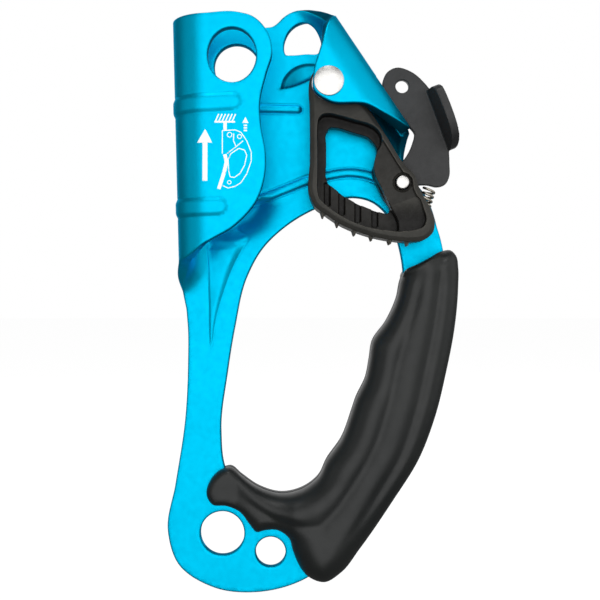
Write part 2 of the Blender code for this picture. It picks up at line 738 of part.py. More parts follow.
def make_cam_spring(finish, parent):
    points = 14
    path = []
    for i in range(CAM_SPRING["turns"] * points + 1):
        a = 2 * math.pi * i / points
        path.append((
            PIVOT[0] + CAM_SPRING["mean"] * math.cos(a),
            CAM_SPRING["first"] + CAM_SPRING["pitch"] * i / points,
            PIVOT[1] + CAM_SPRING["mean"] * math.sin(a),
        ))
    return wire("cam_spring", path, CAM_SPRING["wire"], finish, PIVOT, parent)


def make_catch_spring(finish, parent):
    top, foot = np.array(SPRING_TOP), np.array(SPRING_FOOT)
    run = top - foot
    side = np.array((run[1], -run[0])) / np.linalg.norm(run)
    points = 10
    last = CATCH_SPRING["turns"] * points
    mean = CATCH_SPRING["mean"]
    path = []
    for i in range(last + 1):
        a = 2 * math.pi * i / points
        at = foot + run * (0.06 + 0.86 * i / last) + side * mean * math.cos(a)
        path.append((at[0], mean * math.sin(a), at[1]))
    return wire("catch_spring", path, CATCH_SPRING["wire"], finish, CATCH_PIN, parent)


def make_catch_pin(finish, parent):
    ends = [(0, -6.2), (PIN_R - 0.3, -6.2), (PIN_R, -5.9), (PIN_R, 5.7), (PIN_R - 0.3, 6.0), (0, 6.0)]
    return place("catch_pin", turned(ends, CATCH_PIN, 24), finish, CATCH_PIN, parent)


def main():
    for thing in list(bpy.data.objects):
        bpy.data.objects.remove(thing)
    anodised = material("frame_blue", (0.0, 0.55, 0.80), 0.35, 0.6)
    rubber = material("grip_rubber", (0.030, 0.034, 0.034), 0.6, 0.0)
    black_steel = material("cam_black", (0.045, 0.043, 0.040), 0.5, 0.4)
    black_plastic = material("catch_black", (0.040, 0.042, 0.042), 0.5, 0.0)
    steel = material("polished_steel", (0.80, 0.80, 0.80), 0.2, 1.0)
    spring = material("spring_steel", (0.55, 0.52, 0.46), 0.3, 1.0)

    cam_axis = axis_empty("cam_axis", PIVOT)
    catch_axis = axis_empty("catch_axis", CATCH_PIN, cam_axis)

    make_frame(anodised)
    grip_half("grip_front", -1, rubber)
    grip_half("grip_rear", 1, rubber)
    make_rivet(steel)
    rear = PLATE_REAR + GAP
    washer = ring(RIVET_R + GAP, RIVET_WASHER_R, rear, rear + RIVET_WASHER_THICK, PIVOT)
    place("rivet_washer", washer, steel, PIVOT)
    inner_face = PLATE_FRONT - GAP
    place("cam_sleeve", ring(RIVET_R + GAP, SLEEVE_R, -inner_face, inner_face, PIVOT), steel, PIVOT)
    washer_gap = CAM_HALF + GAP
    for name, side in (("cam_washer_front", -1), ("cam_washer_rear", 1)):
        near, far = side * washer_gap, side * inner_face
        disc = ring(SLEEVE_R + GAP, WASHER_R, min(near, far), max(near, far), PIVOT)
        place(name, disc, steel, PIVOT)
    make_cam(black_steel, cam_axis)
    make_cam_spring(spring, cam_axis)
    make_catch(black_plastic, catch_axis)
    make_catch_pin(steel, cam_axis)
    make_catch_spring(spring, cam_axis)


main()
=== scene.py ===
"""The looks of a handled rope ascender for the right hand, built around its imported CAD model.

X points right, Z up, and Y from the user to the back plate. The origin is on the axis of the rope
channel, level with the cam's rivet. Lengths are in millimetres until an object is made.
"""

import json
import math

import bmesh
import bpy
import numpy as np
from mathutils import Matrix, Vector
from mathutils.geometry import delaunay_2d_cdt


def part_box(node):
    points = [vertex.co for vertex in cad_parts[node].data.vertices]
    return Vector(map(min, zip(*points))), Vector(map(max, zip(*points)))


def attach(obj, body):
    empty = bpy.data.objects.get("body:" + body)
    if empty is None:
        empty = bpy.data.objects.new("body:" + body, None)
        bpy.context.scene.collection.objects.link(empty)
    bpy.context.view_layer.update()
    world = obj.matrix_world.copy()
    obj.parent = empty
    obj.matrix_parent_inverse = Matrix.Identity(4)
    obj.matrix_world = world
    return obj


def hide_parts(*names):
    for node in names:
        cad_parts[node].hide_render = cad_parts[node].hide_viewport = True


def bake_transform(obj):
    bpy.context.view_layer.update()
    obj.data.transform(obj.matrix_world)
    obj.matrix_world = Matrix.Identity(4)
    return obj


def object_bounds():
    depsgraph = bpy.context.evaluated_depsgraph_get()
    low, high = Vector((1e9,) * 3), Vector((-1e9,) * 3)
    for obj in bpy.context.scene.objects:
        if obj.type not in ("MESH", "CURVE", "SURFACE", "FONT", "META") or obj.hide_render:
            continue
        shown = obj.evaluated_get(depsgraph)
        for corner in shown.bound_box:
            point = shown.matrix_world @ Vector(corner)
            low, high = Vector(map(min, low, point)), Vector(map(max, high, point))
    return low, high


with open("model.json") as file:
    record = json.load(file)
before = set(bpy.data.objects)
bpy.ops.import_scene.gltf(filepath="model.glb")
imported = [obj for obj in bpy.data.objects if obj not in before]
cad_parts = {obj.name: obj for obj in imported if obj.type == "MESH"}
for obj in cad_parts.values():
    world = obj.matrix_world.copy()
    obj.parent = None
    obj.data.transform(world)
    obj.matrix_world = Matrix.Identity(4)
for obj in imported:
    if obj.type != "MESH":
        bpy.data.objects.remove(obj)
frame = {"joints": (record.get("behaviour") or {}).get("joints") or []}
cad_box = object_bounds()

MM = 0.001


def hinge(name):
    """Where a joint's axis, which runs along Y, crosses the middle of the object: x and z."""
    found = [j for j in frame["joints"] if j["name"] == name][0]
    return (found["pos_m"][0] / MM, found["pos_m"][2] / MM)


def depths(node):
    """The first and last y of a CAD node."""
    low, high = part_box(node)
    return low.y / MM, high.y / MM


# Sheet frame: one plate with a half-round bend on each side
SHEET = 4.0
CHANNEL_GAP = 15.0
BEND = (CHANNEL_GAP + SHEET) / 2
HALF_TURN = math.pi * BEND
PLATE_REAR = BEND + SHEET / 2
GAP = 0.3
EDGE_R = 0.55
LOOP_STEP = 1.0
GRID_STEP = 1.15
# How close the sheet's inner points may lie: drawn ones, even ones, and both to a rounded edge
DRAWN_SPACING, EVEN_SPACING, EDGE_SPACING = 0.2, 0.55, 0.35

# Holes: centre x and z, then half width and half height
MAIN_HOLE = (4.9, -154.6, 7.7, 7.7)
SMALL_HOLE = (21.8, -161.1, 5.25, 5.25)
TOP_HOLE_REAR = (9.9, 8.8, 7.8, 7.8)
TOP_HOLE_FRONT = (9.4, 8.7, 8.1, 9.1)

# Cam, catch and what holds them
PIVOT = hinge("cam_hinge")
CATCH_PIN = hinge("catch_hinge")
CAM_FRONT, CAM_REAR = depths("cam")
WEB_FRONT = 1.0
PANEL_FRONT = -4.6
SCOOP_DEEP = -2.8
RIVET_R = 3.0
SLEEVE_R = 4.0
BOSS_R = 6.5
WELL_R = 5.9
PIN_R = 2.25
CATCH_HALF = 1.5
CATCH_SLOT_HALF = 1.9
CORD_HOLE = (67.0, 0.1)
CORD_HOLE_R = 2.25
SPRING_TOP = (76.5, -34.6)
SPRING_FOOT = (74.1, -43.0)
SPRING_BORE_R = 2.45
SPRING_BORE_LENGTH = 16.0
CATCH_EYE_R = 4.9
VOXEL = 0.27
# Cuts through the cam or the catch start and end well outside it
CUT_FRONT, CUT_REAR = -9.0, 9.0
# The bulge, as a slope, at which an edge takes its full edge colour: full wear, and on the cyan
# frame a full painted highlight
WEAR_REACH = 0.35

# Grip
GRIP_HEIGHT = 10.0
GRIP_ROUND = 9.0
GRIP_EDGE = 1.2
GRIP_STEP = 1.1
GRIP_THIN = 0.42
GRIP_THIN_X = -4.0
GRIP_THIN_RUN = 34.0


# ---- outlines


def smooth(points, step, closed=True):
    """Points about step apart on the smooth curve through the given ones."""
    points = [np.array(p, float) for p in points]
    count = len(points)
    last = count if closed else count - 1

    def point(i):
        if closed:
            return points[i % count]
        if i < 0:
            return 2 * points[0] - points[1]
        return points[i] if i < count else 2 * points[-1] - points[-2]

    def tangent(i):
        before = point(i) - point(i - 1)
        after = point(i + 1) - point(i)
        b, a = np.linalg.norm(before), np.linalg.norm(after)
        return (before * a / b + after * b / a) / (a + b)

    found = []
    for i in range(last):
        start, end = point(i), point(i + 1)
        length = np.linalg.norm(end - start)
        pieces = max(1, round(length / step))
        for j in range(pieces):
            t = j / pieces
            found.append(
                start * (1 + 2 * t) * (1 - t) ** 2
                + tangent(i) * length * t * (1 - t) ** 2
                + end * t * t * (3 - 2 * t)
                + tangent(i + 1) * length * t * t * (t - 1)
            )
    if not closed:
        found.append(points[-1])
    return found


def straight(points, step):
    """Points about step apart along the straight lines of a closed loop."""
    found = []
    for start, end in zip(points, list(points[1:]) + [points[0]]):
        start, end = np.array(start, float), np.array(end, float)
        pieces = max(1, round(np.linalg.norm(end - start) / step))
        found += [start + (end - start) * i / pieces for i in range(pieces)]
    return found


def between(start, end, step):
    """Points about step apart that lie strictly between two."""
    found = straight([start, end], step)
    return found[1 : len(found) // 2]


def ellipse(hole, count=72):
    x, z, a, b = hole
    turns = [2 * math.pi * i / count for i in range(count)]
    return [np.array((x + a * math.cos(t), z + b * math.sin(t))) for t in turns]


def circle(centre, radius, count=48):
    return ellipse((centre[0], centre[1], radius, radius), count)


def arc(centre, radius, start, end, count):
    """Points on an arc from start to end degrees, counted from +X towards +Z."""
    turns = [math.radians(start + (end - start) * i / count) for i in range(count + 1)]
    return [(centre[0] + radius * math.cos(t), centre[1] + radius * math.sin(t)) for t in turns]


def capsule(centres, radius, step, ends=6):
    """The outline of a band of the given half width along a line of points, with round ends."""
    line = smooth(centres, step, closed=False)
    steps = [b - a for a, b in zip(line, line[1:])]
    steps.append(steps[-1])
    sides = [np.array((-d[1], d[0])) / np.linalg.norm(d) * radius for d in steps]
    left = [p + s for p, s in zip(line, sides)]
    right = [p - s for p, s in zip(line, sides)]

    def cap(centre, side):
        ahead = np.array((side[1], -side[0]))
        turns = [math.pi * i / ends for i in range(1, ends)]
        return [centre + side * math.cos(t) + ahead * math.sin(t) for t in turns]

    return left + cap(line[-1], sides[-1]) + right[::-1] + cap(line[0], -sides[0])


def inside(points, loop):
    """Which points lie inside the loop, by counting crossings."""
    a = np.array(loop)
    b = np.roll(a, -1, axis=0)
    rise = np.where(b[:, 1] == a[:, 1], 1e-12, b[:, 1] - a[:, 1])
    found = []
    for part in np.array_split(np.atleast_2d(points), 1 + len(points) // 4000):
        x, z = part[:, 0, None], part[:, 1, None]
        spans = (a[:, 1] > z) != (b[:, 1] > z)
        crossing = a[:, 0] + (z - a[:, 1]) * (b[:, 0] - a[:, 0]) / rise
        found.append((spans & (x < crossing)).sum(axis=1) % 2 == 1)
    return np.concatenate(found)


def distance(points, line, closed=True):
    """How far each point is from the line or loop."""
    a = np.array(line)
    run = np.roll(a, -1, axis=0) - a
    if not closed:
        a, run = a[:-1], run[:-1]
    square = np.maximum((run * run).sum(axis=1), 1e-12)
    found = []
    for part in np.array_split(np.atleast_2d(points), 1 + len(points) // 4000):
        x, z = part[:, 0, None] - a[:, 0], part[:, 1, None] - a[:, 1]
        t = np.clip((x * run[:, 0] + z * run[:, 1]) / square, 0, 1)
        found.append(np.sqrt((x - t * run[:, 0]) ** 2 + (z - t * run[:, 1]) ** 2).min(axis=1))
    return np.concatenate(found)


def field_in(loop, step, margin):
    """An even field of points inside the loop, further than margin from it."""
    field = np.array(lattice(loop, step))
    field = field[inside(field, loop)]
    return field[distance(field, loop) > margin]


def upright(flat, y):
    """3D points for flat ones, x and z. y is one depth, or one for each point."""
    return np.stack([flat[:, 0], np.broadcast_to(y, len(flat)), flat[:, 1]], axis=1)


def step_up(value):
    """0 to 1 with soft ends."""
    t = np.clip(value, 0, 1)
    return t * t * (3 - 2 * t)


def rounding(reach, radius):
    """How far a face falls away at this distance from a rounded edge."""
    t = np.clip(1 - reach / radius, 0, 1)
    return radius * (1 - np.sqrt(1 - t * t))


def thin(points, spacings):
    """Leaves out each point that is closer than its spacing to an earlier one."""
    cells = {}
    kept = []
    widest = max(spacings)
    for p, spacing in zip(points, spacings):
        cell = (int(p[0] // widest), int(p[1] // widest))
        around = [(cell[0] + i, cell[1] + j) for i in (-1, 0, 1) for j in (-1, 0, 1)]
        near = [q for place in around for q in cells.get(place, ())]
        if all(math.dist(p, q) >= spacing for q in near):
            cells.setdefault(cell, []).append(p)
            kept.append(p)
    return kept


def lattice(loop, step):
    """An even field of points over the loop's box, in rows that are offset by half a step."""
    low, high = np.min(loop, axis=0), np.max(loop, axis=0)
    rows = int((high[1] - low[1]) / (step * 0.866)) + 1
    columns = int((high[0] - low[0]) / step) + 1
    return [
        np.array((low[0] + (i + j % 2 / 2) * step, low[1] + j * step * 0.866))
        for j in range(rows)
        for i in range(columns)
    ]


def insets(loop, offsets, outward):
    """Copies of the loop's points, moved into the material by each offset."""
    points = np.array(loop)
    run = np.roll(points, -1, axis=0) - np.roll(points, 1, axis=0)
    side = np.stack([-run[:, 1], run[:, 0]], axis=1)
    side /= np.maximum(np.linalg.norm(side, axis=1), 1e-9)[:, None]
    near = inside(points + side * 0.05, loop)
    side[near == outward] *= -1
    found = []
    for offset in offsets:
        moved = points + side * offset
        found.append(moved[distance(moved, loop) > 0.94 * offset])
    return np.concatenate(found)


def fill(loops, extra):
    """Triangles that fill the first loop but not the others, using the extra points as well."""
    points = [tuple(p) for loop in loops for p in loop]
    edges = []
    start = 0
    for loop in loops:
        edges += [(start + i, start + (i + 1) % len(loop)) for i in range(len(loop))]
        start += len(loop)
    points += [tuple(p) for p in extra]
    verts, _, faces = delaunay_2d_cdt(points, edges, [], 0, 1e-7, False)[:3]
    verts = np.array([tuple(v) for v in verts])
    faces = np.array([tuple(f) for f in faces])
    middles = verts[faces].mean(axis=1)
    solid = inside(middles, loops[0])
    for loop in loops[1:]:
        solid &= ~inside(middles, loop)
    faces = faces[solid]
    run = verts[faces]
    area = np.cross(run[:, 1] - run[:, 0], run[:, 2] - run[:, 0])
    faces[area < 0] = faces[area < 0][:, ::-1]
    used, index = np.unique(faces, return_inverse=True)
    return verts[used], index.reshape(-1, 3)


def shell(loops, extra, front, rear):
    """A closed mesh over the loops. front and rear turn flat points into 3D ones."""
    verts, faces = fill(loops, extra)
    ends = np.concatenate([faces[:, [0, 1]], faces[:, [1, 2]], faces[:, [2, 0]]])
    sides = {tuple(e) for e in ends.tolist()}
    rim = [(a, b) for a, b in sides if (b, a) not in sides]
    count = len(verts)
    points = np.concatenate([np.array(front(verts)), np.array(rear(verts))])
    polygons = faces.tolist() + (faces[:, ::-1] + count).tolist()
    polygons += [(b, a, count + a, count + b) for a, b in rim]
    mesh = bpy.data.meshes.new("shell")
    mesh.from_pydata(points.tolist(), [], polygons)
    return mesh


def prism(loop, y_front, y_rear):
    """A flat piece with its faces at the two depths."""
    return shell([loop], [], lambda flat: upright(flat, y_front), lambda flat: upright(flat, y_rear))


# ---- objects


def linked(name, data):
    """A new object in the scene."""
    thing = bpy.data.objects.new(name, data)
    bpy.context.scene.collection.objects.link(thing)
    return thing


def mesh_of(name, body):
    """The mesh of a bmesh, which is freed."""
    mesh = bpy.data.meshes.new(name)
    body.to_mesh(mesh)
    body.free()
    return mesh


def vectors(mesh, kind):
    """The "co" or the "normal" of each vertex, one per row."""
    found = np.empty(len(mesh.vertices) * 3)
    mesh.vertices.foreach_get(kind, found)
    return found.reshape(-1, 3)


def store(mesh, name, values):
    """Keeps one number per vertex for the materials."""
    layer = mesh.attributes.new(name, "FLOAT", "POINT")
    layer.data.foreach_set("value", values.astype(np.float32))


def face_outward(mesh):
    body = bmesh.new()
    body.from_mesh(mesh)
    bmesh.ops.recalc_face_normals(body, faces=body.faces)
    body.to_mesh(mesh)
    body.free()


def loose(name, mesh):
    """An object in millimetres, to be worked on before it is finished."""
    face_outward(mesh)
    return linked(name, mesh)


def combine(thing, mesh, operation="DIFFERENCE"):
    """Adds or takes away a mesh, and returns the object that holds it."""
    other = loose(thing.name + "_tool", mesh)
    modifier = thing.modifiers.new("shape", "BOOLEAN")
    modifier.operation = operation
    modifier.object = other
    return other


def baked(thing, tools):
    """The object's mesh with its modifiers applied. The object and its tools are removed."""
    graph = bpy.context.evaluated_depsgraph_get()
    mesh = bpy.data.meshes.new_from_object(thing.evaluated_get(graph))
    for other in [thing, *tools]:
        bpy.data.objects.remove(other)
    return mesh


def cast(thing, tools, voxel=VOXEL, passes=3):
    """The object as one even skin whose edges are softly rounded, as on a casting."""
    skin = thing.modifiers.new("skin", "REMESH")
    skin.mode = "VOXEL"
    skin.voxel_size = voxel
    soften = thing.modifiers.new("soften", "SMOOTH")
    soften.factor = 0.5
    soften.iterations = passes
    return baked(thing, tools)


def add_edge_wear(mesh, reach):
    """Stores how sharply the surface bulges out at each vertex, from 0 to 1, for the materials."""
    co, normal = vectors(mesh, "co"), vectors(mesh, "normal")
    ends = np.empty(len(mesh.edges) * 2, int)
    mesh.edges.foreach_get("vertices", ends)
    a, b = ends.reshape(-1, 2).T
    bulge, weight = np.zeros(len(co)), np.zeros(len(co))
    for near, far in ((a, b), (b, a)):
        run = co[far] - co[near]
        length = np.maximum(np.linalg.norm(run, axis=1), 1e-9)
        np.add.at(bulge, near, -(run * normal[near]).sum(axis=1) / length)
        np.add.at(weight, near, 1)
    bulge = np.clip(bulge / np.maximum(weight, 1) / reach, 0, 1)
    for _ in range(2):
        total = bulge.copy()
        np.add.at(total, a, bulge[b])
        np.add.at(total, b, bulge[a])
        bulge = total / (weight + 1)
    store(mesh, "edge_wear_and_highlight", bulge)


def finish(name, mesh, look, body, nodes=(), sharp=None):
    """Turns a mesh in millimetres into a piece that stands for CAD nodes.

    It rides on the body, if one is given. Edges above sharp degrees stay sharp.
    """
    mesh.transform(((MM, 0, 0, 0), (0, MM, 0, 0), (0, 0, MM, 0), (0, 0, 0, 1)))
    face_outward(mesh)
    add_edge_wear(mesh, WEAR_REACH)
    mesh.materials.clear()
    mesh.materials.append(look)
    mesh.name = name
    mesh.shade_smooth()
    if sharp:
        mesh.set_sharp_from_angle(angle=math.radians(sharp))
    thing = linked(name, mesh)
    if body:
        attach(thing, body)
    if nodes:
        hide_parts(*nodes)
    return thing


def turned(profile, axis, steps=72):
    """A mesh turned about the line through axis along Y. The profile lists (radius, y)."""
    body = bmesh.new()
    verts = [body.verts.new((r, y, 0)) for r, y in profile]
    edges = [body.edges.new(pair) for pair in zip(verts, verts[1:])]
    if profile[0][0] > 0:
        edges.append(body.edges.new((verts[-1], verts[0])))
    bmesh.ops.spin(
        body,
        geom=verts + edges,
        cent=(0, 0, 0),
        axis=(0, 1, 0),
        angle=2 * math.pi,
        steps=steps,
        use_merge=True,
    )
    bmesh.ops.remove_doubles(body, verts=body.verts, dist=1e-5)
    bmesh.ops.translate(body, verts=body.verts, vec=(axis[0], 0, axis[1]))
    return mesh_of("turned", body)


def cylinder(centre, radius, front=CUT_FRONT, rear=CUT_REAR, steps=48):
    return turned([(0, front), (radius, front), (radius, rear), (0, rear)], centre, steps)


def ring(inner, outer, y_front, y_rear, axis, chamfer=0.12):
    """A washer or bush with its outer edges broken."""
    profile = [
        (inner, y_front), (outer - chamfer, y_front), (outer, y_front + chamfer),
        (outer, y_rear - chamfer), (outer - chamfer, y_rear), (inner, y_rear),
    ]
    return turned(profile, axis)


def tube(points, radius, sides=12):
    """A round wire through the points, with flat ends."""
    points = np.array(points)
    run = np.gradient(points, axis=0)
    run /= np.linalg.norm(run, axis=1)[:, None]
    side = np.cross(run[0], (0.3, 0.9, 0.2))
    verts = []
    for p, ahead in zip(points, run):
        side = side - ahead * (side @ ahead)
        side /= np.linalg.norm(side)
        up = np.cross(ahead, side)
        for k in range(sides):
            turn = 2 * math.pi * k / sides
            verts.append(p + radius * (side * math.cos(turn) + up * math.sin(turn)))
    polygons = []
    for i in range(len(points) - 1):
        for k in range(sides):
            a, b = i * sides + k, i * sides + (k + 1) % sides
            polygons.append((a, b, b + sides, a + sides))
    polygons += [tuple(range(sides))[::-1], tuple(range(len(verts) - sides, len(verts)))]
    mesh = bpy.data.meshes.new("tube")
    mesh.from_pydata([tuple(v) for v in verts], [], polygons)
    return mesh


def join(meshes):
    """One mesh of several separate closed bodies."""
    body = bmesh.new()
    for mesh in meshes:
        body.from_mesh(mesh)
    return mesh_of("joined", body)


# ---- materials


# Most of a noise pattern lies between these two values
NOISE_LOW, NOISE_HIGH = 0.3, 0.7
# Cycles per metre of the noise that breaks up the edge colour: wear, and on the cyan frame a painted
# highlight
WEAR_SCALE = 900.0


def nodes_of(name):
    made = bpy.data.materials.new(name)
    made.use_nodes = True
    tree = made.node_tree
    return made, tree, tree.nodes["Principled BSDF"]


def noise(tree, scale, detail=3.0):
    """A noise pattern in the object's own space. scale is in cycles per metre."""
    place = tree.nodes.new("ShaderNodeTexCoord")
    pattern = tree.nodes.new("ShaderNodeTexNoise")
    pattern.inputs["Scale"].default_value = scale
    pattern.inputs["Detail"].default_value = detail
    pattern.inputs["Roughness"].default_value = 0.55
    tree.links.new(place.outputs["Object"], pattern.inputs["Vector"])
    return pattern.outputs["Fac"]


def attribute(tree, name):
    """The number that store() kept for each vertex."""
    stored = tree.nodes.new("ShaderNodeAttribute")
    stored.attribute_name = name
    return stored.outputs["Fac"]


def ramp(tree, value, low, high, start=NOISE_LOW, end=NOISE_HIGH):
    """Maps value from start..end to low..high, which are two numbers or two colours."""
    spread = tree.nodes.new("ShaderNodeMapRange")
    spread.inputs["From Min"].default_value = start
    spread.inputs["From Max"].default_value = end
    tree.links.new(value, spread.inputs["Value"])
    if isinstance(low, (int, float)):
        spread.inputs["To Min"].default_value = low
        spread.inputs["To Max"].default_value = high
        return spread.outputs["Result"]
    return blend(tree, spread.outputs["Result"], low, high)


def blend(tree, share, low, high):
    """A colour between two, each given as three numbers or as an output."""
    mix = tree.nodes.new("ShaderNodeMix")
    mix.data_type = "RGBA"
    tree.links.new(share, mix.inputs["Factor"])
    for colour, socket in ((low, mix.inputs[6]), (high, mix.inputs[7])):
        if isinstance(colour, tuple):
            socket.default_value = (*colour, 1)
        else:
            tree.links.new(colour, socket)
    return mix.outputs[2]


def worn(tree, low, high):
    """How strongly the edge at this point takes its edge colour, 0 to 1, broken up by noise: wear on
    most parts, a painted highlight on the cyan frame.
    """
    product = tree.nodes.new("ShaderNodeMath")
    product.operation = "MULTIPLY"
    edge = ramp(tree, attribute(tree, "edge_wear_and_highlight"), 0.0, 1.0, low, high)
    patchy = ramp(tree, noise(tree, WEAR_SCALE), 0.5, 1.0, 0.35, 0.65)
    tree.links.new(edge, product.inputs[0])
    tree.links.new(patchy, product.inputs[1])
    return product.outputs[0]


def bump(tree, shader, height, strength, depth):
    """Roughens the surface by a pattern. depth is in metres."""
    made = tree.nodes.new("ShaderNodeBump")
    made.inputs["Strength"].default_value = strength
    made.inputs["Distance"].default_value = depth
    tree.links.new(height, made.inputs["Height"])
    tree.links.new(made.outputs["Normal"], shader.inputs["Normal"])


def varied(name, tone, rough, metallic=0.0, specular=0.5, wear=None, grain=None):
    """A material whose colour and roughness vary with noise, with its tree, shader and colour.

    tone and rough are (cycles per metre, low, high). wear is (low, high, colour) of the worn
    edges, which on the cyan frame are a painted highlight. grain is (cycles per metre, detail,
    strength, depth in metres) of the bump.
    """
    made, tree, shader = nodes_of(name)
    colour = ramp(tree, noise(tree, tone[0]), *tone[1:])
    if wear:
        colour = blend(tree, worn(tree, *wear[:2]), colour, wear[2])
    tree.links.new(colour, shader.inputs["Base Color"])
    tree.links.new(ramp(tree, noise(tree, rough[0]), *rough[1:]), shader.inputs["Roughness"])
    shader.inputs["Metallic"].default_value = metallic
    shader.inputs["Specular IOR Level"].default_value = specular
    if grain:
        bump(tree, shader, noise(tree, *grain[:2]), *grain[2:])
    return made, tree, shader, colour


def anodised():
    """Bead-blasted aluminium, dyed cyan, darker along its cut edges, with a painted highlight along
    bulging edges, painted shade in the right fold's lining and a painted shadow along the slit at
    the leaf's foot.
    """
    made, tree, shader, colour = varied(
        "anodised_cyan",
        tone=(60.0, (0.0, 0.58, 0.90), (0.0, 0.62, 0.95)),
        rough=(500.0, 0.40, 0.48),
        metallic=0.96,
        specular=0.4,
        # The lighter cyan along bulging edges is a painted highlight.
        wear=(0.35, 1.2, (0.03, 0.68, 0.96)),
        grain=(5200.0, 2.0, 0.25, 0.00004),
    )
    shader.inputs["Specular Tint"].default_value = (0.15, 0.55, 0.70, 1.0)
    # Darker on the cut edge walls; the same stored share also paints shade into the right fold's
    # lining and a shadow along the slit at the leaf's foot.
    colour = blend(tree, attribute(tree, "cut_edge_and_painted_shade"), colour, (0.0, 0.17, 0.28))
    tree.links.new(colour, shader.inputs["Base Color"])
    return made


def rubber():
    """Moulded rubber, satin, with a fine grain."""
    return varied(
        "moulded_rubber",
        tone=(45.0, (0.008, 0.010, 0.010), (0.013, 0.015, 0.014)),
        rough=(260.0, 0.38, 0.46),
        wear=(0.3, 1.0, (0.045, 0.047, 0.045)),
        grain=(3600.0, 4.0, 0.3, 0.00006),
    )[0]


def coated_steel():
    """Cast steel under a matt black coating, rubbed brown along the edges, with painted shade
    darkening its hollows and its raised block.
    """
    made, tree, shader, colour = varied(
        "coated_cast_steel",
        tone=(120.0, (0.044, 0.043, 0.038), (0.064, 0.062, 0.055)),
        rough=(700.0, 0.42, 0.58),
        specular=0.3,
        wear=(0.12, 0.6, (0.15, 0.14, 0.12)),
        grain=(1900.0, 5.0, 0.45, 0.00010),
    )
    # Painted shade: the stored share darkens the colour and takes the metal sheen away in the
    # hollows and on the raised block.
    deep = attribute(tree, "recess")
    colour = blend(tree, deep, colour, (0.009, 0.008, 0.007))
    tree.links.new(colour, shader.inputs["Base Color"])
    tree.links.new(ramp(tree, deep, 0.35, 0.0, 0.0, 1.0), shader.inputs["Metallic"])
    return made


def black_plastic():
    """Moulded black plastic with a fine matt texture."""
    return varied(
        "moulded_plastic",
        tone=(80.0, (0.020, 0.021, 0.022), (0.030, 0.031, 0.032)),
        rough=(400.0, 0.40, 0.52),
        wear=(0.15, 0.7, (0.07, 0.072, 0.07)),
        grain=(2600.0, 4.0, 0.4, 0.00007),
    )[0]


def polished_steel():
    """Stainless steel, polished, with faint handling marks."""
    return varied(
        "polished_stainless",
        tone=(300.0, (0.74, 0.73, 0.71), (0.84, 0.83, 0.81)),
        rough=(800.0, 0.22, 0.34),
        metallic=1.0,
        grain=(420.0, 2.0, 0.25, 0.00012),
    )[0]


def spring_wire():
    """Drawn spring wire."""
    return varied(
        "drawn_wire",
        tone=(500.0, (0.44, 0.41, 0.34), (0.62, 0.58, 0.50)),
        rough=(1500.0, 0.22, 0.36),
        metallic=1.0,
    )[0]


def white_ink_painted_glow():
    """White screen print, slightly uneven, with a painted glow that keeps it bright whatever light
    falls on it.
    """
    made, _, shader, _ = varied(
        "white_ink_painted_glow",
        tone=(1400.0, (0.90, 0.92, 0.92), (0.97, 0.98, 0.98)),
        rough=(900.0, 0.5, 0.65),
    )
    # Painted glow: the ink gives off light of its own so that it stays bright.
    shader.inputs["Emission Color"].default_value = (1.0, 1.0, 1.0, 1.0)
    shader.inputs["Emission Strength"].default_value = 0.42
    return made


# ---- folded sheet


class Fold:
    """A half-round bend of the plate. Its line starts at start and runs along; it bends outward."""

    def __init__(self, start, end, side, fade=None):
        self.start = np.array(start, float)
        self.along = (np.array(end, float) - self.start) / math.dist(start, end)
        self.outward = side * np.array((-self.along[1], self.along[0]))
        self.fade = fade

    def measure(self, flat):
        """Distances along the fold's line and out past it."""
        offset = flat - self.start
        return offset @ self.along, offset @ self.outward

    def flat(self, s, w):
        return self.start + s * self.along + w * self.outward

    def front(self, x, z):
        """The flat-pattern place of a point on the part that is folded over to the front."""
        s, off = self.measure(np.array((x, z), float))
        return self.flat(s, HALF_TURN - off)

    def curvature(self, flat):
        if self.fade is None:
            return np.full(len(flat), 1 / BEND)
        high, low = self.fade
        return np.maximum(step_up((flat[:, 1] - low) / (high - low)) / BEND, 1e-7)

    def wrap(self, flat, lift):
        """World points for flat-pattern points that lie lift outside the middle of the sheet."""
        s, w = self.measure(flat)
        k = self.curvature(flat)
        turn = np.minimum(k * w, math.pi)
        past = w - turn / k
        out = np.sin(turn) / k - past + lift * np.sin(turn)
        y = BEND - (1 - np.cos(turn)) / k + lift * np.cos(turn)
        ground = self.start + s[:, None] * self.along + out[:, None] * self.outward
        return upright(ground, y)


LEFT = Fold((0.0, 26.0), (1.9, -52.0), -1, fade=(-60.0, -72.0))
RIGHT = Fold((33.6, 19.7), (63.0, -24.1), 1)

# The plate's edges where the grip covers it
HANDLE_EDGE = [
    (17.5, -175.2), (35.0, -170.0), (47.0, -159.5), (58.0, -143.0), (69.0, -124.0), (77.0, -104.0),
    (82.0, -85.0), (83.4, -66.0), (81.0, -50.1), (75.8, -36.2),
]
HANDLE_INNER = [
    (4.4, -119.0), (6.4, -133.2), (11.5, -140.5), (20.0, -144.8), (30.0, -144.8), (39.5, -139.5),
    (48.5, -128.0), (57.0, -112.0), (63.6, -93.0), (67.3, -75.0), (68.2, -63.0), (66.3, -52.5),
    (62.9, -43.6),
]


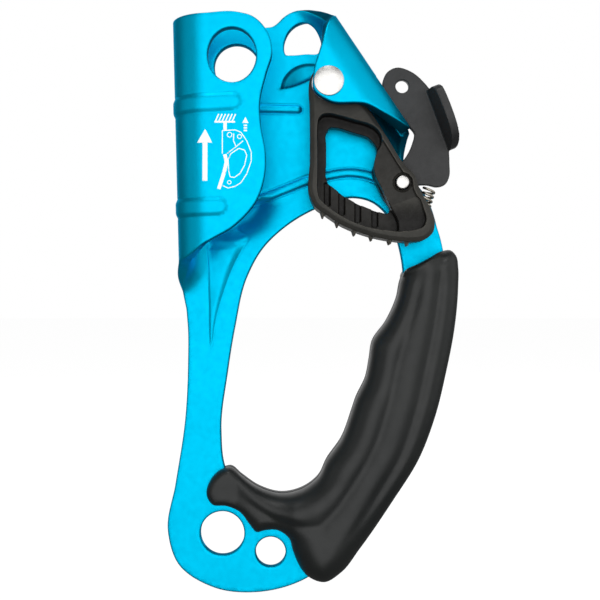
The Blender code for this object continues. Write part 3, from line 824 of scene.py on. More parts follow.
def frame_outline():
    lobe = [
        (-7.7, -76.0), (-7.1, -84.0), (-7.1, -94.0), (-8.1, -114.4), (-11.5, -137.2),
        (-14.2, -153.8), (-10.6, -165.3), (1.9, -173.6),
    ]
    fold_end = [(60.5, 3.2), (55.8, 4.2), (52.6, 6.8), (50.4, 9.7), (49.2, 12.6)]
    fold_end = [RIGHT.flat(s, w) for s, w in fold_end]
    before_slot = smooth(lobe + HANDLE_EDGE + fold_end, LOOP_STEP, closed=False)
    slot = [(28.9, 12.6), (27.5, 13.4), (26.9, 14.9), (27.5, 16.4), (28.9, 17.2)]
    slot = [RIGHT.flat(s, w) for s, w in slot]
    near_side = between(before_slot[-1], slot[0], LOOP_STEP)
    flap = [
        (48.4, 17.2), (47.0, 19.6), (44.4, 22.0), (40.2, 24.8), (34.3, 28.1), (26.1, 37.9),
        (20.5, 39.8), (16.0, 37.0), (9.8, 30.0), (3.2, 22.0), (2.4, 18.2), (1.6, 15.2), (0.4, 13.2),
        (-1.2, 11.5), (-4.2, 8.6), (-8.4, 3.7),
    ]
    top = [RIGHT.flat(s, w) for s, w in flap]
    top += [
        (28.4, 27.5), (26.2, 26.0), (24.4, 24.2), (22.6, 22.9), (19.8, 22.5), (10.0, 22.5),
        (0.0, 22.5), LEFT.flat(3.7, HALF_TURN / 2), LEFT.front(0.0, 22.7),
    ]
    flange = [
        (10.8, 23.1), (16.5, 21.5), (21.1, 16.7), (22.8, 9.8), (20.8, 2.6), (18.7, -7.0),
        (19.0, -14.3), (20.6, -24.0), (20.4, -30.8), (17.3, -40.3), (10.4, -48.0), (0.0, -54.3),
    ]
    top += [LEFT.front(x, z) for x, z in flange]
    lip = [(-21.0, -58.5), (-15.5, -60.3), (-12.2, -62.5), (-10.6, -65.0), (-9.3, -69.0)]
    far_side = between(slot[-1], top[0], LOOP_STEP)
    rest = smooth(top + lip + lobe[:1], LOOP_STEP, closed=False)[:-1]
    return before_slot + near_side + slot + far_side + rest


def finger_opening():
    stem_side = [
        (50.5, -37.0), (43.5, -38.6), (36.6, -41.3), (27.0, -47.1), (19.0, -54.8), (13.4, -65.0),
        (9.3, -82.2), (6.6, -98.8),
    ]
    return smooth(stem_side + HANDLE_INNER + [(57.5, -38.6)], LOOP_STEP)


def carry_hole():
    edge = [
        (26.5, 15.4), (27.2, 12.9), (29.0, 12.8), (34.0, 13.2), (38.8, 13.7), (39.9, 15.6),
        (39.6, 19.4), (37.6, 22.8), (34.6, 24.2), (31.2, 23.6), (28.4, 21.2), (26.9, 18.2),
    ]
    return smooth(edge, LOOP_STEP)


PRESSING_STEP = 0.8
# Half widths of the fine crease round a pressing and of the slit at the leaf's foot
CREASE_HALF = 0.32
SLIT_HALF = 0.55
# How softly the wedge's two slopes meet in its crest
CREST_SOFT = 0.12
LEAF_FOOT = [(41.2, 7.6), (40.0, 6.2), (35.6, 4.3), (29.8, 1.9), (25.2, 0.9)]


class Pressing:
    """A shape pressed into the sheet: a plateau with sloping flanks, and a fine crease round it."""

    def __init__(self, loop, flank, outer, inner, crease=0.0):
        self.loop = loop
        self.flank = flank
        self.outer = outer
        self.inner = inner
        self.crease = crease

    def height(self, points):
        """How high the shape is at points inside its outline, as a share of its full height."""
        return step_up(distance(points, self.loop) / self.flank)

    def rise(self, flat):
        found = np.zeros(len(flat))
        within = inside(flat, self.loop)
        found[within] = self.height(flat[within])
        return found

    def groove(self, flat):
        """How deep the crease along the outline is at each point."""
        return self.crease * np.exp(-((distance(flat, self.loop) / CREASE_HALF) ** 2))

    def points(self):
        """Rows of points that draw the flank and the crease."""
        inner = [0.25, 0.5] + [self.flank * t for t in (0.35, 0.55, 0.75, 1.0)]
        found = list(self.loop) + list(insets(self.loop, inner, False))
        return found + list(insets(self.loop, [0.25, 0.5, 0.8], True))


class Pocket(Pressing):
    """A leaf-shaped hollow that deepens from its round upper edge to the slit along its foot."""

    def __init__(self, upper, lower, outer, inner):
        super().__init__(upper + lower, 2.4, outer, inner)
        self.upper = upper
        self.lower = lower

    def height(self, points):
        below = distance(points, self.upper, False)
        fall = 0.22 * step_up(below / 0.9) + 0.78 * np.clip(below / 6.0, 0, 1)
        return fall * (1.0 - 0.35 * step_up((points[:, 0] - 30.0) / 9.0))

    def groove(self, flat):
        slit = 0.5 * np.exp(-((distance(flat, self.lower, False) / SLIT_HALF) ** 2))
        return np.where(inside(flat, self.loop), slit, 0.0)


class Wedge(Pressing):
    """A long raised wedge that climbs from its left edge to a crest and drops off steeply."""

    def __init__(self, left, right, top, lip, outer, inner):
        super().__init__(left + right[1:] + top[1:-1], 2.4, outer, inner, 0.08)
        self.sides = (left, right, top, lip)

    def height(self, points):
        left, right, top, lip = [distance(points, side, False) for side in self.sides]
        climb = 0.18 * step_up(left / 0.5) + 0.85 * (1 - np.exp(-left / 5.0))
        drop = 0.46 * right
        crest = -CREST_SOFT * np.log(np.exp(-climb / CREST_SOFT) + np.exp(-drop / CREST_SOFT))
        notch = 0.22 * np.exp(-((lip / 0.35) ** 2)) * step_up(right / 1.2)
        return crest * step_up(top / 7.5) - notch


class Hollow(Pressing):
    """A soft hollow under the flange, between the rib and the wedge, that fades out past a line."""

    def __init__(self, line, outer, inner):
        super().__init__(line, 0.0, outer, inner)

    def rise(self, flat):
        past = distance(flat, self.loop, False)
        under = inside(flat, self.loop + [np.array((0.0, -50.0)), np.array((0.0, -34.0))])
        past[under] = 0.0
        high = step_up((-36.6 - flat[:, 1]) / 3.0)
        low = step_up((flat[:, 1] + 53.5) / 7.5) * step_up((flat[:, 0] - 2.0) / 9.0)
        return np.exp(-((past / 4.4) ** 1.3)) * high * low

    def points(self):
        return []


def pressings():
    step = PRESSING_STEP
    upper = [LEFT.front(9.8, -6.8), LEFT.front(0, -7.3), LEFT.flat(33.7, 6.5)]
    lower = [LEFT.front(5.2, -41.7), LEFT.front(0, -41.9), LEFT.flat(67.4, 8.5)]
    ridge = [(4.0, -5.8), (18.0, -5.9), (31.4, -6.2)]
    rib = [
        (6.0, -39.6), (17.8, -37.6), (27.0, -34.2), (35.1, -31.1), (42.0, -29.4), (49.7, -28.4),
        (57.0, -29.6), (62.0, -32.0),
    ]
    left = [(-2.0, -53.2), (-1.0, -58.0), (-0.4, -64.0), (0.2, -74.0), (0.3, -83.0), (0.6, -90.5)]
    right = [
        (0.6, -90.5), (1.5, -87.5), (2.2, -82.5), (3.6, -76.0), (5.6, -69.5), (8.4, -62.0),
        (11.4, -56.0), (14.4, -51.2),
    ]
    top = [(14.4, -51.2), (13.2, -50.0), (10.4, -48.4), (6.0, -47.6), (1.0, -49.4), (-2.0, -53.2)]
    lip = [(-2.0, -53.4), (-0.9, -53.9), (6.0, -53.7), (11.8, -52.8), (14.4, -51.2)]
    shade = [(19.5, -34.0), (18.3, -38.3), (16.4, -42.6), (12.4, -46.2), (6.0, -49.5), (-1.2, -53.5)]
    leaf_top = [
        (25.2, 0.9), (25.9, 3.9), (28.5, 7.4), (32.4, 9.5), (36.2, 9.9), (39.4, 9.2), (41.2, 7.6),
    ]
    return [
        Pressing(capsule(upper, 3.4, step), 1.9, 0.6, 0.5, 0.06),
        Pressing(capsule(lower, 3.4, step), 1.9, 0.6, 0.5, 0.06),
        Pressing(capsule(ridge, 1.6, step, 8), 0.9, -0.5, -0.75, 0.28),
        Pressing(capsule(rib, 1.7, step), 0.9, -0.5, -0.75, 0.28),
        Wedge(*[smooth(line, step, False) for line in (left, right, top, lip)], -1.0, -1.15),
        Hollow(smooth(shade, step, False), 0.9, 2.7),
        Pocket(smooth(leaf_top, step, False), smooth(LEAF_FOOT, step, False)[1:-1], 1.3, 2.7),
    ]


def bend_sheet(flat, side, shapes, edges):
    """The folded places of flat-pattern points on the sheet's outer (1) or inner (-1) face."""
    outer, inner = np.zeros(len(flat)), np.zeros(len(flat))
    for shape in shapes:
        rise = shape.rise(flat)
        groove = shape.groove(flat)
        outer += rise * shape.outer - groove
        inner += rise * shape.inner + groove
    reach = np.min([distance(flat, loop) for loop in edges], axis=0)
    half = SHEET / 2 - rounding(reach, EDGE_R)
    lift = half + outer if side > 0 else -half + inner
    world = upright(flat, BEND + lift)
    for fold in (LEFT, RIGHT):
        bent = fold.measure(flat)[1] > 0
        world[bent] = fold.wrap(flat, lift)[bent]
    return world


def make_frame(look):
    shapes = pressings()
    loops = [
        frame_outline(),
        finger_opening(),
        ellipse(MAIN_HOLE),
        ellipse(SMALL_HOLE, 56),
        ellipse(TOP_HOLE_REAR),
        [LEFT.front(x, z) for x, z in ellipse(TOP_HOLE_FRONT)],
        carry_hole(),
        circle(PIVOT, RIVET_R + GAP, 36),
        [RIGHT.front(x, z) for x, z in circle(PIVOT, RIVET_R + GAP, 36)],
    ]
    rows = [EDGE_R * (1 - math.cos(math.radians(a))) for a in (30, 58, 90)]
    extra = [insets(loop, rows, i > 0) for i, loop in enumerate(loops)]
    drawn = [p for shape in shapes for p in shape.points()]
    even = lattice(loops[0], GRID_STEP)
    spacings = [DRAWN_SPACING] * len(drawn) + [EVEN_SPACING] * len(even)
    field = np.array(thin(drawn + even, spacings))
    clear = inside(field, loops[0])
    for i, loop in enumerate(loops):
        clear &= distance(field, loop) > EDGE_R + EDGE_SPACING
        if i:
            clear &= ~inside(field, loop)
    extra = np.concatenate(extra + [field[clear]])
    mesh = shell(
        loops,
        extra,
        lambda flat: bend_sheet(flat, -1, shapes, loops),
        lambda flat: bend_sheet(flat, 1, shapes, loops),
    )
    add_walls(mesh)
    return finish("frame_skin", mesh, look, "frame", ["frame"])


def add_walls(mesh):
    """Marks the cut edges of the sheet for a darker colour, and paints shade into the lining of the
    right fold and a shadow along the slit at the leaf's foot, for the material.
    """
    cut = np.zeros(len(mesh.vertices), np.float32)
    for polygon in mesh.polygons:
        if len(polygon.vertices) == 4:
            cut[list(polygon.vertices)] = 1.0
    co = vectors(mesh, "co")
    flat = co[:, [0, 2]]
    # The lip below the flange stays as bright as the rest
    cut[(co[:, 0] < -1.0) & (co[:, 2] < -50.0)] = 0.0
    # Painted shade on the inner face of the right fold, deep in its lining
    s, out = RIGHT.measure(flat)
    lining = np.arange(len(co)) < len(co) / 2
    fold = step_up((out - 2.0) / 4.0) * step_up((9.0 - co[:, 1]) / 4.0)
    cut = np.maximum(cut, 0.8 * np.where(lining & (s > 8.0), fold, 0.0))
    # Painted shadow along the slit at the leaf's foot
    foot = smooth(LEAF_FOOT, PRESSING_STEP, False)
    slit = np.exp(-((distance(flat, foot, False) / SLIT_HALF) ** 2))
    cut = np.maximum(cut, np.where(lining & (co[:, 1] > 5.0), slit, 0.0))
    store(mesh, "cut_edge_and_painted_shade", cut)


# How far the print's two faces lie below and above the flange, and how finely it is divided
INK_HALF = 0.03
INK_STEP = 0.6


def printed(strokes, look):
    """Ink on the front flange: flat outlines, laid on the bent sheet."""

    def face(side):
        lift = SHEET / 2 + side * INK_HALF
        return lambda points: LEFT.wrap(points, np.full(len(points), lift))

    made = []
    for stroke in strokes:
        flat = straight([LEFT.front(x, z) for x, z in [*stroke, stroke[0]]], INK_STEP)[:-1]
        made.append(shell([flat], field_in(flat, INK_STEP, 0.2), face(-1), face(1)))
    return finish("print_marks", join(made), look, "frame")


def line_stroke(points, width):
    """The outline of a straight-sided stroke along the points."""
    found = []
    for start, end in zip(points, points[1:]):
        run = np.array(end, float) - np.array(start, float)
        side = np.array((-run[1], run[0])) / np.linalg.norm(run) * width / 2
        found.append([start + side, start - side, end - side, end + side])
    return found


def usage_marks():
    """A rope held at the top, a plain sketch of the clamp on it, and arrows that point up."""
    strokes = line_stroke([(3.7, -13.7), (10.5, -13.7)], 0.6)
    for i in range(6):
        x = 4.0 + 1.12 * i
        strokes += line_stroke([(x, -13.5), (x + 1.1, -11.1)], 0.42)
    strokes += line_stroke([(7.2, -13.9), (7.2, -16.4)], 1.1)
    strokes += line_stroke([(7.1, -24.5), (7.7, -27.0), (6.8, -30.8), (5.1, -36.0)], 1.2)
    body = [
        (6.3, -24.3), (6.3, -16.6), (10.6, -16.4), (12.5, -17.2), (14.4, -20.0), (15.9, -23.8),
        (15.9, -26.7), (14.4, -31.0), (12.5, -33.9), (10.6, -35.1), (8.2, -35.7), (6.4, -34.9),
    ]
    grip = [
        (8.4, -30.0), (8.2, -26.2), (9.1, -24.3), (11.8, -22.5), (13.7, -23.1), (14.4, -24.8),
        (13.7, -28.1), (12.2, -30.8), (10.3, -32.2), (8.9, -32.0), (8.4, -30.0),
    ]
    cam = [(7.9, -24.2), (10.6, -22.2), (13.2, -20.0)]
    for line in (body, grip, cam):
        strokes += line_stroke(line, 0.3)
    strokes += line_stroke([(10.1, -17.6), (10.0, -20.0), (10.8, -21.8)], 0.3)
    for centre, radius in (((8.7, -18.0), 0.8), ((12.0, -18.6), 0.7), ((8.6, -33.8), 0.6)):
        strokes += line_stroke([*circle(centre, radius, 12), circle(centre, radius, 12)[0]], 0.25)
    for i in range(3):
        strokes += line_stroke([(13.4, -16.6 + 0.85 * i), (14.5, -16.6 + 0.85 * i)], 0.5)
    strokes.append([(12.9, -14.1), (15.0, -14.1), (13.95, -12.1)])
    strokes += line_stroke([(0.65, -33.3), (0.65, -20.6)], 1.4)
    strokes.append([(-1.6, -20.6), (2.9, -20.6), (0.65, -16.1)])
    return strokes


# ---- grip


def grip_edges():
    """The straight cut at the top of the grip, then its outer and inner sides."""
    cut = [(68.8, -62.6), (72.8, -60.5), (77.3, -58.1), (81.8, -55.8)]
    outer = [
        (84.4, -55.5), (86.4, -57.4), (87.2, -61.6), (87.2, -68.0), (86.0, -82.0), (83.2, -97.0),
        (79.0, -114.0), (73.6, -128.0), (64.4, -142.8), (52.8, -159.6), (46.5, -167.6),
        (40.6, -171.0), (34.8, -169.0), (31.2, -164.2), (29.6, -160.1), (28.2, -155.8),
        (24.0, -153.0), (19.6, -153.2), (17.0, -153.8), (14.6, -151.2), (11.2, -146.9),
        (6.6, -144.8), (1.4, -144.2), (-0.5, -141.0), (0.9, -135.6),
    ]
    inner = [
        (4.2, -132.3), (7.6, -131.3), (11.4, -134.2), (17.5, -138.4), (25.5, -140.7),
        (33.4, -138.8), (38.6, -134.6), (41.2, -129.2), (46.5, -121.5), (50.2, -111.6),
        (51.6, -107.4), (55.2, -99.6), (56.4, -93.4), (57.4, -87.4), (62.4, -80.0), (66.0, -72.0),
        (67.6, -65.0),
    ]
    return cut, outer, inner


FLUTE_INNER = [
    (-8.0, -129.0), (4.2, -131.0), (11.4, -134.2), (17.5, -138.4), (25.5, -140.7), (33.4, -138.8),
    (40.2, -131.5), (47.4, -119.5), (52.4, -106.0), (57.4, -92.0), (62.4, -80.0), (66.0, -70.0),
    (68.6, -60.0), (70.0, -50.0),
]
FLUTE_OUTER = [
    (-8.0, -144.0), (6.6, -147.0), (17.0, -156.0), (30.0, -165.0), (46.5, -166.0), (55.0, -156.5),
    (64.4, -142.8), (73.6, -128.0), (79.0, -114.0), (83.2, -97.0), (86.0, -82.0), (87.3, -68.0),
    (87.0, -50.0),
]
# How far across the grip its two long grooves run, at these distances below the origin
FLUTE_DOWN = (60.0, 81.0, 97.0, 108.0, 130.0, 150.0)
FIRST_FLUTE = (0.30, 0.30, 0.34, 0.38, 0.42, 0.44)
SECOND_FLUTE = (0.62, 0.66, 0.70, 0.72, 0.75, 0.76)
FIRST_DEPTH, SECOND_DEPTH = 1.9, 2.5
# How wide a groove is, and how round its bottom, as shares of the grip's width
FLUTE_HALF = 0.10
FLUTE_ROUND = 0.0006
# Radii at the grip's thin end, at its straight cut and along its seam, and how high the cut starts
THIN_ROUND = 2.4
CUT_ROUND = 1.8
SEAM_ROUND = 0.4
CUT_SHARE = 0.72


def flutes(points):
    """How deep the long shallow grooves of the grip are at each point."""
    near = distance(points, smooth(FLUTE_INNER, 2.0, False), False)
    far = distance(points, smooth(FLUTE_OUTER, 2.0, False), False)
    across = near / np.maximum(near + far, 1e-6)
    x, down = points[:, 0], -points[:, 1]

    def furrow(places, depth):
        off = across - np.interp(down, FLUTE_DOWN, places)
        return depth * np.exp(-np.sqrt(off**2 + FLUTE_ROUND) / FLUTE_HALF)

    groove = furrow(FIRST_FLUTE, FIRST_DEPTH)
    groove += furrow(SECOND_FLUTE, SECOND_DEPTH) * step_up((x - 42.0) / 20.0)
    top = step_up((down - 60 + (x - 69) * 0.5) / 14)
    foot = step_up((x - 8) / 18)
    return groove * top * foot


def make_grip_half(name, side, look):
    """One half of the grip: side -1 is the user's side of the plate and 1 the far side."""
    cut_face, outer, inner = grip_edges()
    outline = smooth(cut_face + outer + inner, LOOP_STEP)
    first, last = [np.argmin([math.dist(p, q) for p in outline]) for q in (cut_face[-1], inner[-1])]
    flank = outline[first : last + 1]
    seam_y = BEND + side * GAP / 2

    def crown(points):
        bulk = np.clip((points[:, 0] - GRIP_THIN_X) / GRIP_THIN_RUN, GRIP_THIN, 1)
        full = step_up((bulk - GRIP_THIN) / (1 - GRIP_THIN))
        radius = THIN_ROUND + (GRIP_ROUND - THIN_ROUND) * full
        depth = np.minimum(distance(points, flank, False), radius)
        round_off = np.sqrt(np.maximum(1 - (1 - depth / radius) ** 2, 0))
        fall = rounding(distance(points, cut_face, False), CUT_ROUND) / CUT_ROUND
        end = CUT_SHARE + (1 - CUT_SHARE) * (1 - fall)
        rise = (GRIP_HEIGHT - GRIP_EDGE) * round_off * end
        return (GRIP_EDGE + rise) * bulk - flutes(points) * round_off

    def outside(points):
        tall = crown(points) + SHEET / 2
        return upright(points, seam_y + side * tall)

    def seam(points):
        drop = rounding(distance(points, outline), SEAM_ROUND)
        return upright(points, seam_y + side * drop)

    rows = insets(outline, [0.12, 0.3, 0.55, 0.9, 1.4, 2.0], False)
    field = field_in(outline, GRIP_STEP, 2.0 + GRIP_STEP / 2)
    mesh = shell([outline], np.concatenate([rows, field]), outside, seam)
    return finish(name + "_skin", mesh, look, "frame", [name])


# ---- cam and catch


def cam_outline():
    edge = [
        (35.5, -25.0), (35.6, -38.3), (37.2, -41.4), (40.5, -43.8), (46.0, -47.4), (52.4, -50.1),
        (58.3, -51.8), (65.0, -52.9), (70.1, -53.2), (74.4, -52.4), (77.2, -49.8), (77.7, -46.4),
        (75.9, -41.2), (73.7, -37.4), (72.0, -33.8), (70.9, -30.6), (68.2, -28.0), (61.7, -18.0),
        (55.8, -8.9),
    ]
    boss = arc(PIVOT, BOSS_R, 15, 170, 10)
    return edge + boss + [(35.4, -6.0), (35.5, -12.0)]


def cam_recess():
    edge = [
        (38.0, -30.0), (38.0, -22.0), (38.0, -14.4), (38.4, -11.6), (39.6, -10.2), (41.6, -9.8),
        (45.4, -10.5), (50.7, -12.0), (56.0, -13.6), (58.2, -15.0), (59.8, -17.8), (59.6, -20.2),
        (58.3, -22.7), (57.3, -29.4), (60.0, -35.4), (63.1, -41.8), (65.6, -46.8), (65.6, -49.4),
        (61.6, -49.4), (57.6, -48.9), (51.6, -47.2), (45.0, -43.9), (40.6, -40.6), (38.5, -38.4),
        (38.0, -36.2),
    ]
    return smooth(edge, 0.7)


def cam_window():
    edge = [
        (41.1, -26.0), (41.1, -20.0), (41.2, -15.4), (42.4, -13.7), (44.4, -13.7), (50.0, -15.3),
        (54.4, -16.6), (55.6, -17.1), (56.4, -17.9), (58.3, -20.4), (58.5, -21.4), (58.1, -24.4),
        (57.0, -29.4), (58.0, -32.0), (60.6, -37.6), (63.0, -42.4), (62.2, -43.2), (60.0, -42.8),
        (55.2, -41.2), (48.3, -37.8), (44.1, -34.7), (41.6, -32.4), (41.1, -31.0),
    ]
    return smooth(edge, 0.7)


def cam_panel():
    """The raised block that carries the catch's pin."""
    return [
        (60.0, -18.6), (64.8, -26.4), (66.9, -29.7), (68.8, -30.4), (70.1, -32.0), (70.5, -35.4),
        (71.6, -37.8), (62.2, -41.2), (56.6, -29.3), (58.0, -22.6),
    ]


def cam_scoop():
    """The hollow below the block, which slopes down into the recess."""
    edge = [
        (61.8, -40.6), (63.4, -37.2), (70.4, -37.2), (72.0, -38.0), (74.0, -42.5), (74.8, -45.6),
        (73.9, -48.0), (71.2, -49.2), (67.6, -49.6), (65.0, -49.6), (64.8, -46.6),
    ]
    return smooth(edge, 0.7)


TOOTH_LINE = [(38.6, -42.6), (46.0, -47.4), (58.3, -51.8), (70.1, -53.2)]
TOOTH_ROWS = 6
TOOTH_BASE, TOOTH_TIP, TOOTH_LENGTH = 1.25, 0.25, 2.9
CAM_CHAMFER = 1.5
CAM_CHAMFER_DROP = 0.8


def drain_grooves():
    """Short grooves across the inside of the toothed wall, one behind each row of teeth."""
    line = smooth(TOOTH_LINE, 0.5, closed=False)
    half, low, high = 1.1, 3.8, 12.0
    corners = [(-half, low), (half, low), (half, high), (-half, high)]
    made = []
    for share in (0.10, 0.28, 0.46, 0.63):
        x, z = line[round(share * (len(line) - 1))]
        groove = [(x + a, z + b) for a, b in corners]
        made.append(prism(groove, CUT_FRONT, WEB_FRONT + 1.6))
    return join(made)


def cam_blank():
    """The cam before anything is cut: its front edge is bevelled all round."""
    outline = smooth(cam_outline(), 0.8)
    rows = insets(outline, [CAM_CHAMFER * t for t in (0.3, 0.65, 1.0)], False)
    field = field_in(outline, 2.2, CAM_CHAMFER + 0.8)

    def front(points):
        bevel = np.clip(1 - distance(points, outline) / CAM_CHAMFER, 0, 1) * CAM_CHAMFER_DROP
        return upright(points, CAM_FRONT + bevel)

    extra = np.concatenate([rows, field])
    return shell([outline], extra, front, lambda points: upright(points, CAM_REAR))


def scoop_cut():
    """What the sloping hollow takes away: it is deeper towards the toothed edge."""
    outline = cam_scoop()

    def floor(points):
        slope = step_up((-points[:, 1] - 37.6) / 10.0)
        return upright(points, PANEL_FRONT + (SCOOP_DEEP - PANEL_FRONT) * slope)

    field = field_in(outline, 1.0, 0.5)
    return shell([outline], field, lambda points: upright(points, CUT_FRONT), floor)


def make_cam(look):
    cam = loose("cam_work", cam_blank())
    slot = [
        (60.0, -29.0), (64.0, -20.0), (72.0, -20.0), (90.0, -30.0), (90.0, -41.0), (75.0, -39.6),
        (71.6, -40.4), (62.0, -38.6),
    ]
    top, foot = np.array(SPRING_TOP), np.array(SPRING_FOOT)
    beyond = foot + (top - foot) / np.linalg.norm(top - foot) * SPRING_BORE_LENGTH
    spring_line = [(foot[0], 0.0, foot[1]), (beyond[0], 0.0, beyond[1])]
    well_front = depths("cam_spring")[0] - GAP
    cuts = [
        prism(cam_recess(), CUT_FRONT, WEB_FRONT),
        prism(cam_window(), -2, CUT_REAR),
        prism(cam_panel(), CUT_FRONT, PANEL_FRONT),
        scoop_cut(),
        prism(slot, -CATCH_SLOT_HALF, CATCH_SLOT_HALF),
        drain_grooves(),
        cylinder(PIVOT, SLEEVE_R + GAP),
        cylinder(PIVOT, WELL_R, well_front),
        cylinder(CATCH_PIN, PIN_R + GAP),
        cylinder(CATCH_PIN, PIN_R + 1.0, CUT_FRONT, PANEL_FRONT + 0.8),
        tube(spring_line, SPRING_BORE_R, 24),
    ]
    tools = [combine(cam, mesh) for mesh in cuts]
    mesh = cast(cam, tools)
    add_painted_recess_shade(mesh)
    return finish("cam_skin", mesh, look, "cam", ["cam"])


def add_painted_recess_shade(mesh):
    """Stores painted shade for the cam's material, from 0 to 1: darker the deeper a vertex lies
    inside the hollows, half dark on the raised block, and less dark on the wall beside the teeth.
    """
    x, y, z = vectors(mesh, "co").T
    flat = np.stack([x, z], axis=1)
    hollow = distance(flat, cam_recess()) < 0.35
    hollow |= inside(flat, cam_recess())
    deep = np.where(hollow, step_up((y - CAM_FRONT - 0.5) / 2.2), 0.0)
    deep = np.maximum(deep, np.where(inside(flat, cam_panel()), 0.5, 0.0))
    scoop = inside(flat, cam_scoop())
    deep = np.maximum(deep, np.where(scoop, step_up((-38.5 - z) / 7.0), 0.0))
    wall = hollow & (y < WEB_FRONT + 0.3) & ~scoop & (z < -34.0)
    deep[wall] *= 0.74
    store(mesh, "recess", deep)


def make_teeth(look):
    """Rows of small pointed teeth on the cam's curved edge. They all point down."""
    line = smooth(TOOTH_LINE, 0.5, closed=False)
    made = []
    for row in range(TOOTH_ROWS):
        x, z = line[round((0.04 + 0.92 * row / (TOOTH_ROWS - 1)) * (len(line) - 1))]
        for y in (-3.9, 0.0, 3.9) if row % 2 == 0 else (-2.0, 2.0):
            body = bmesh.new()
            cone = bmesh.ops.create_cone(
                body,
                cap_ends=True,
                segments=20,
                radius1=TOOTH_BASE,
                radius2=TOOTH_TIP,
                depth=TOOTH_LENGTH,
            )
            for vert in cone["verts"]:
                vert.co = (x + vert.co.x, y + vert.co.y, z - vert.co.z)
            made.append(mesh_of("tooth", body))
    return finish("cam_teeth", join(made), look, "cam", sharp=40)


def catch_outline():
    edge = [
        (60.5, 2.3), (61.4, 4.4), (63.3, 6.0), (65.8, 6.6), (68.2, 6.0), (71.6, 4.2), (74.0, 2.0),
        (76.5, -0.9), (83.0, -21.5), (83.2, -26.0), (83.0, -31.2), (81.8, -33.4), (79.0, -34.3),
        (75.5, -33.6), (71.6, -34.2), (70.6, -36.2),
    ]
    edge += arc(CATCH_PIN, CATCH_EYE_R, -40, -220, 8)
    edge += [(64.3, -28.0), (67.6, -24.9), (70.8, -18.6), (71.3, -16.2), (69.4, -13.6)]
    return edge


def thumb_tab():
    """The tab that turns towards the user along the catch's right edge and flares outwards."""
    long = 22.0
    deep = 11.6
    tab = [
        (0.5, -0.6), (0.3, 4.0), (0.4, 7.8), (1.8, 10.6), (4.6, deep), (long - 6.8, deep),
        (long - 3.2, 9.8), (long - 1.0, 6.2), (long, 2.2), (long, -0.6),
    ]
    root, foot = np.array((75.1, -1.2)), np.array((82.3, -20.9))
    along = (foot - root) / np.linalg.norm(foot - root)
    flare = np.array((1.5, 0.3))
    thick = np.array((2.6, 0.98))

    def face(share):
        def place(flat):
            s, d = flat[:, 0, None], flat[:, 1, None]
            ground = root + along * s + flare * np.clip(d / deep, 0, 1) + thick * share
            return upright(ground, -flat[:, 1])

        return place

    outline = smooth(tab, 1.0)
    return shell([outline], field_in(outline, 1.4, 0.8), face(0), face(1))


def make_catch(look):
    catch = loose("catch_work", prism(smooth(catch_outline(), 1.0), -CATCH_HALF, CATCH_HALF))
    tools = [combine(catch, thumb_tab(), "UNION")]
    tools.append(combine(catch, cylinder(CATCH_PIN, PIN_R + GAP)))
    tools.append(combine(catch, cylinder(CORD_HOLE, CORD_HOLE_R)))
    return finish("catch_skin", cast(catch, tools), look, "catch", ["catch"])


# ---- turned pieces and springs


def make_rivet(look):
    radius, height, edge = 5.0, 1.05, 0.35
    under = -PLATE_REAR - GAP
    ball = (radius**2 + (height - edge) ** 2) / (2 * (height - edge))
    lean = [math.asin((radius - 0.15) / ball) * i / 14 for i in range(15)]
    dome = [(ball * math.sin(t), under - height + ball * (1 - math.cos(t))) for t in lean]
    dome += [(radius - 0.03, under - edge + 0.08)]
    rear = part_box("rivet_washer")[1].y / MM + GAP
    profile = dome + [(radius, under - 0.12), (radius - 0.1, under), (RIVET_R, under)]
    profile += [
        (RIVET_R, rear), (4.2, rear), (4.3, rear + 0.15), (4.15, rear + 0.8), (3.7, rear + 1.2),
        (2.9, rear + 1.45), (1.6, rear + 1.5), (0.9, rear + 1.2), (0, rear + 1.1),
    ]
    mesh = turned(profile, PIVOT, 96)
    return finish("rivet_skin", mesh, look, "frame", ["cam_rivet"], 30)


def make_rings(look):
    """The washers and the bush on the rivet, each a little finer than its CAD solid."""
    for node, bore in (
        ("rivet_washer", RIVET_R + GAP),
        ("cam_sleeve", RIVET_R + GAP),
        ("cam_washer_front", SLEEVE_R + GAP),
        ("cam_washer_rear", SLEEVE_R + GAP),
    ):
        low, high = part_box(node)
        radius = (high.x - low.x) / 2 / MM
        mesh = ring(bore, radius, low.y / MM, high.y / MM, PIVOT)
        finish(node + "_skin", mesh, look, "frame", [node], 30)


def make_catch_pin(look):
    front, rear = depths("catch_pin")
    ends = [
        (0, front), (PIN_R - 0.4, front), (PIN_R - 0.15, front + 0.12), (PIN_R, front + 0.4),
        (PIN_R, rear - 0.4), (PIN_R - 0.3, rear), (0, rear),
    ]
    mesh = turned(ends, CATCH_PIN, 64)
    return finish("catch_pin_skin", mesh, look, "cam", ["catch_pin"], 30)


def make_cam_spring(look):
    front, rear = depths("cam_spring")
    wire, mean = 0.45, 5.1
    turns, points = 3, 40
    pitch = (rear - front - 2 * wire) / turns
    path = []
    for i in range(turns * points + 1):
        a = 2 * math.pi * i / points
        y = front + wire + pitch * i / points
        path.append((PIVOT[0] + mean * math.cos(a), y, PIVOT[1] + mean * math.sin(a)))
    mesh = tube(path, wire)
    return finish("cam_spring_skin", mesh, look, "cam", ["cam_spring"], 40)


def make_catch_spring(look):
    """The coil between the cam and the catch, made at one length; the real one shortens as the catch
    turns.
    """
    top, foot = np.array(SPRING_TOP), np.array(SPRING_FOOT)
    run = top - foot
    side = np.array((-run[1], run[0])) / np.linalg.norm(run)
    wire, mean = 0.44, 1.95
    turns, points = 5, 32
    path = []
    for i in range(turns * points + 1):
        a = 2 * math.pi * i / points
        at = foot + run * (0.04 + 0.92 * i / (turns * points)) + side * mean * math.cos(a)
        path.append((at[0], mean * math.sin(a), at[1]))
    mesh = tube(path, wire)
    thing = finish("catch_spring_skin", mesh, look, None, ["catch_spring"], 40)
    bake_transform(thing)


# ---- stage


WHITE = (1.0, 1.0, 1.0, 1.0)


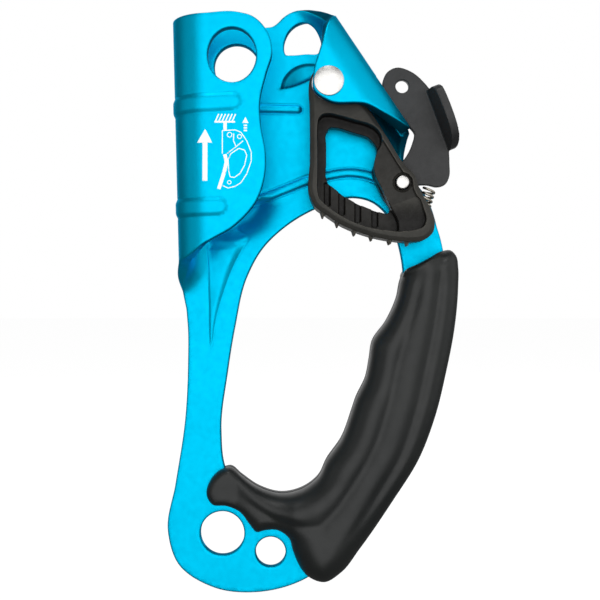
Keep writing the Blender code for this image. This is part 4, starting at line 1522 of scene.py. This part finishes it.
def glow(name, strength, body):
    """A pale surface that the camera sees as it is, with body the share of it that takes light."""
    made, _, shader = nodes_of(name)
    shader.inputs["Base Color"].default_value = (body, body, body, 1)
    shader.inputs["Roughness"].default_value = 1.0
    shader.inputs["Specular IOR Level"].default_value = 0.0
    shader.inputs["Emission Color"].default_value = WHITE
    shader.inputs["Emission Strength"].default_value = strength
    return made


def stage_piece(name, body, look):
    """Part of the surroundings. It is seen, but it neither lights nor shades the object."""
    mesh = mesh_of(name, body)
    mesh.materials.append(look)
    thing = linked(name, mesh)
    thing.visible_diffuse = False
    thing.visible_glossy = False
    thing.visible_shadow = False
    return thing


def make_surroundings():
    """A wide pale floor just under the object, and an even white backdrop all round."""
    body = bmesh.new()
    bmesh.ops.create_circle(body, cap_ends=True, segments=96, radius=6.0)
    floor = stage_piece("floor", body, glow("pale_floor", 0.96, 0.2))
    floor.location.z = cad_box[0][2] - 0.002
    body = bmesh.new()
    bmesh.ops.create_icosphere(body, subdivisions=4, radius=6.5)
    stage_piece("backdrop", body, glow("white_backdrop", 1.0, 0.0))


# Softboxes: name, place, diameter and brightness. They all face the middle of the object.
MIDDLE = (0.035, 0.0, -0.07)
LIGHTS = [
    ("front_box", (0.05, -1.1, -0.05), 1.5, 1.3),
    ("right_box", (0.95, -0.28, 0.25), 1.7, 0.6),
    ("left_box", (-0.95, -0.45, 0.05), 0.9, 0.35),
    ("top_box", (0.0, -0.50, 0.90), 0.7, 2.2),
    ("back_box", (-0.10, 1.0, 0.20), 1.6, 0.75),
]
ROOM_LIGHT = 0.13
# The camera, level and straight in front of the plate, in metres and millimetres of lens
CAMERA_PLACE = (0.0321, -0.3675, -0.0729)
SENSOR_MM, LENS_MM = 36.0, 64.3


def soft_light(name, place, size, radiance):
    """A round softbox of the given brightness, which the camera doesn't see."""
    lamp = bpy.data.lights.new(name, "AREA")
    lamp.shape = "DISK"
    lamp.size = size
    lamp.energy = radiance * math.pi * math.pi * (size / 2) ** 2
    thing = linked(name, lamp)
    thing.location = place
    thing.rotation_euler = (Vector(MIDDLE) - Vector(place)).to_track_quat("-Z", "Y").to_euler()
    thing.visible_camera = False


def make_stage():
    make_surroundings()
    for light in LIGHTS:
        soft_light(*light)
    world = bpy.data.worlds.new("studio")
    world.use_nodes = True
    background = world.node_tree.nodes["Background"]
    background.inputs["Color"].default_value = WHITE
    background.inputs["Strength"].default_value = ROOM_LIGHT
    bpy.context.scene.world = world
    bpy.context.scene.view_settings.view_transform = "Standard"


def make_camera():
    lens = bpy.data.cameras.new("camera")
    lens.sensor_width = SENSOR_MM
    lens.lens = LENS_MM
    lens.clip_start = 0.01
    camera = linked("camera", lens)
    camera.location = CAMERA_PLACE
    camera.rotation_euler = (math.pi / 2, 0, 0)
    bpy.context.scene.camera = camera


# ---- the object


def main():
    steel = polished_steel()
    wire = spring_wire()
    grip = rubber()
    cam_look = coated_steel()
    make_frame(anodised())
    printed(usage_marks(), white_ink_painted_glow())
    make_grip_half("grip_front", -1, grip)
    make_grip_half("grip_rear", 1, grip)
    make_cam(cam_look)
    make_teeth(cam_look)
    make_catch(black_plastic())
    make_rivet(steel)
    make_rings(steel)
    make_catch_pin(steel)
    make_cam_spring(wire)
    make_catch_spring(wire)
    make_stage()
    make_camera()


main()
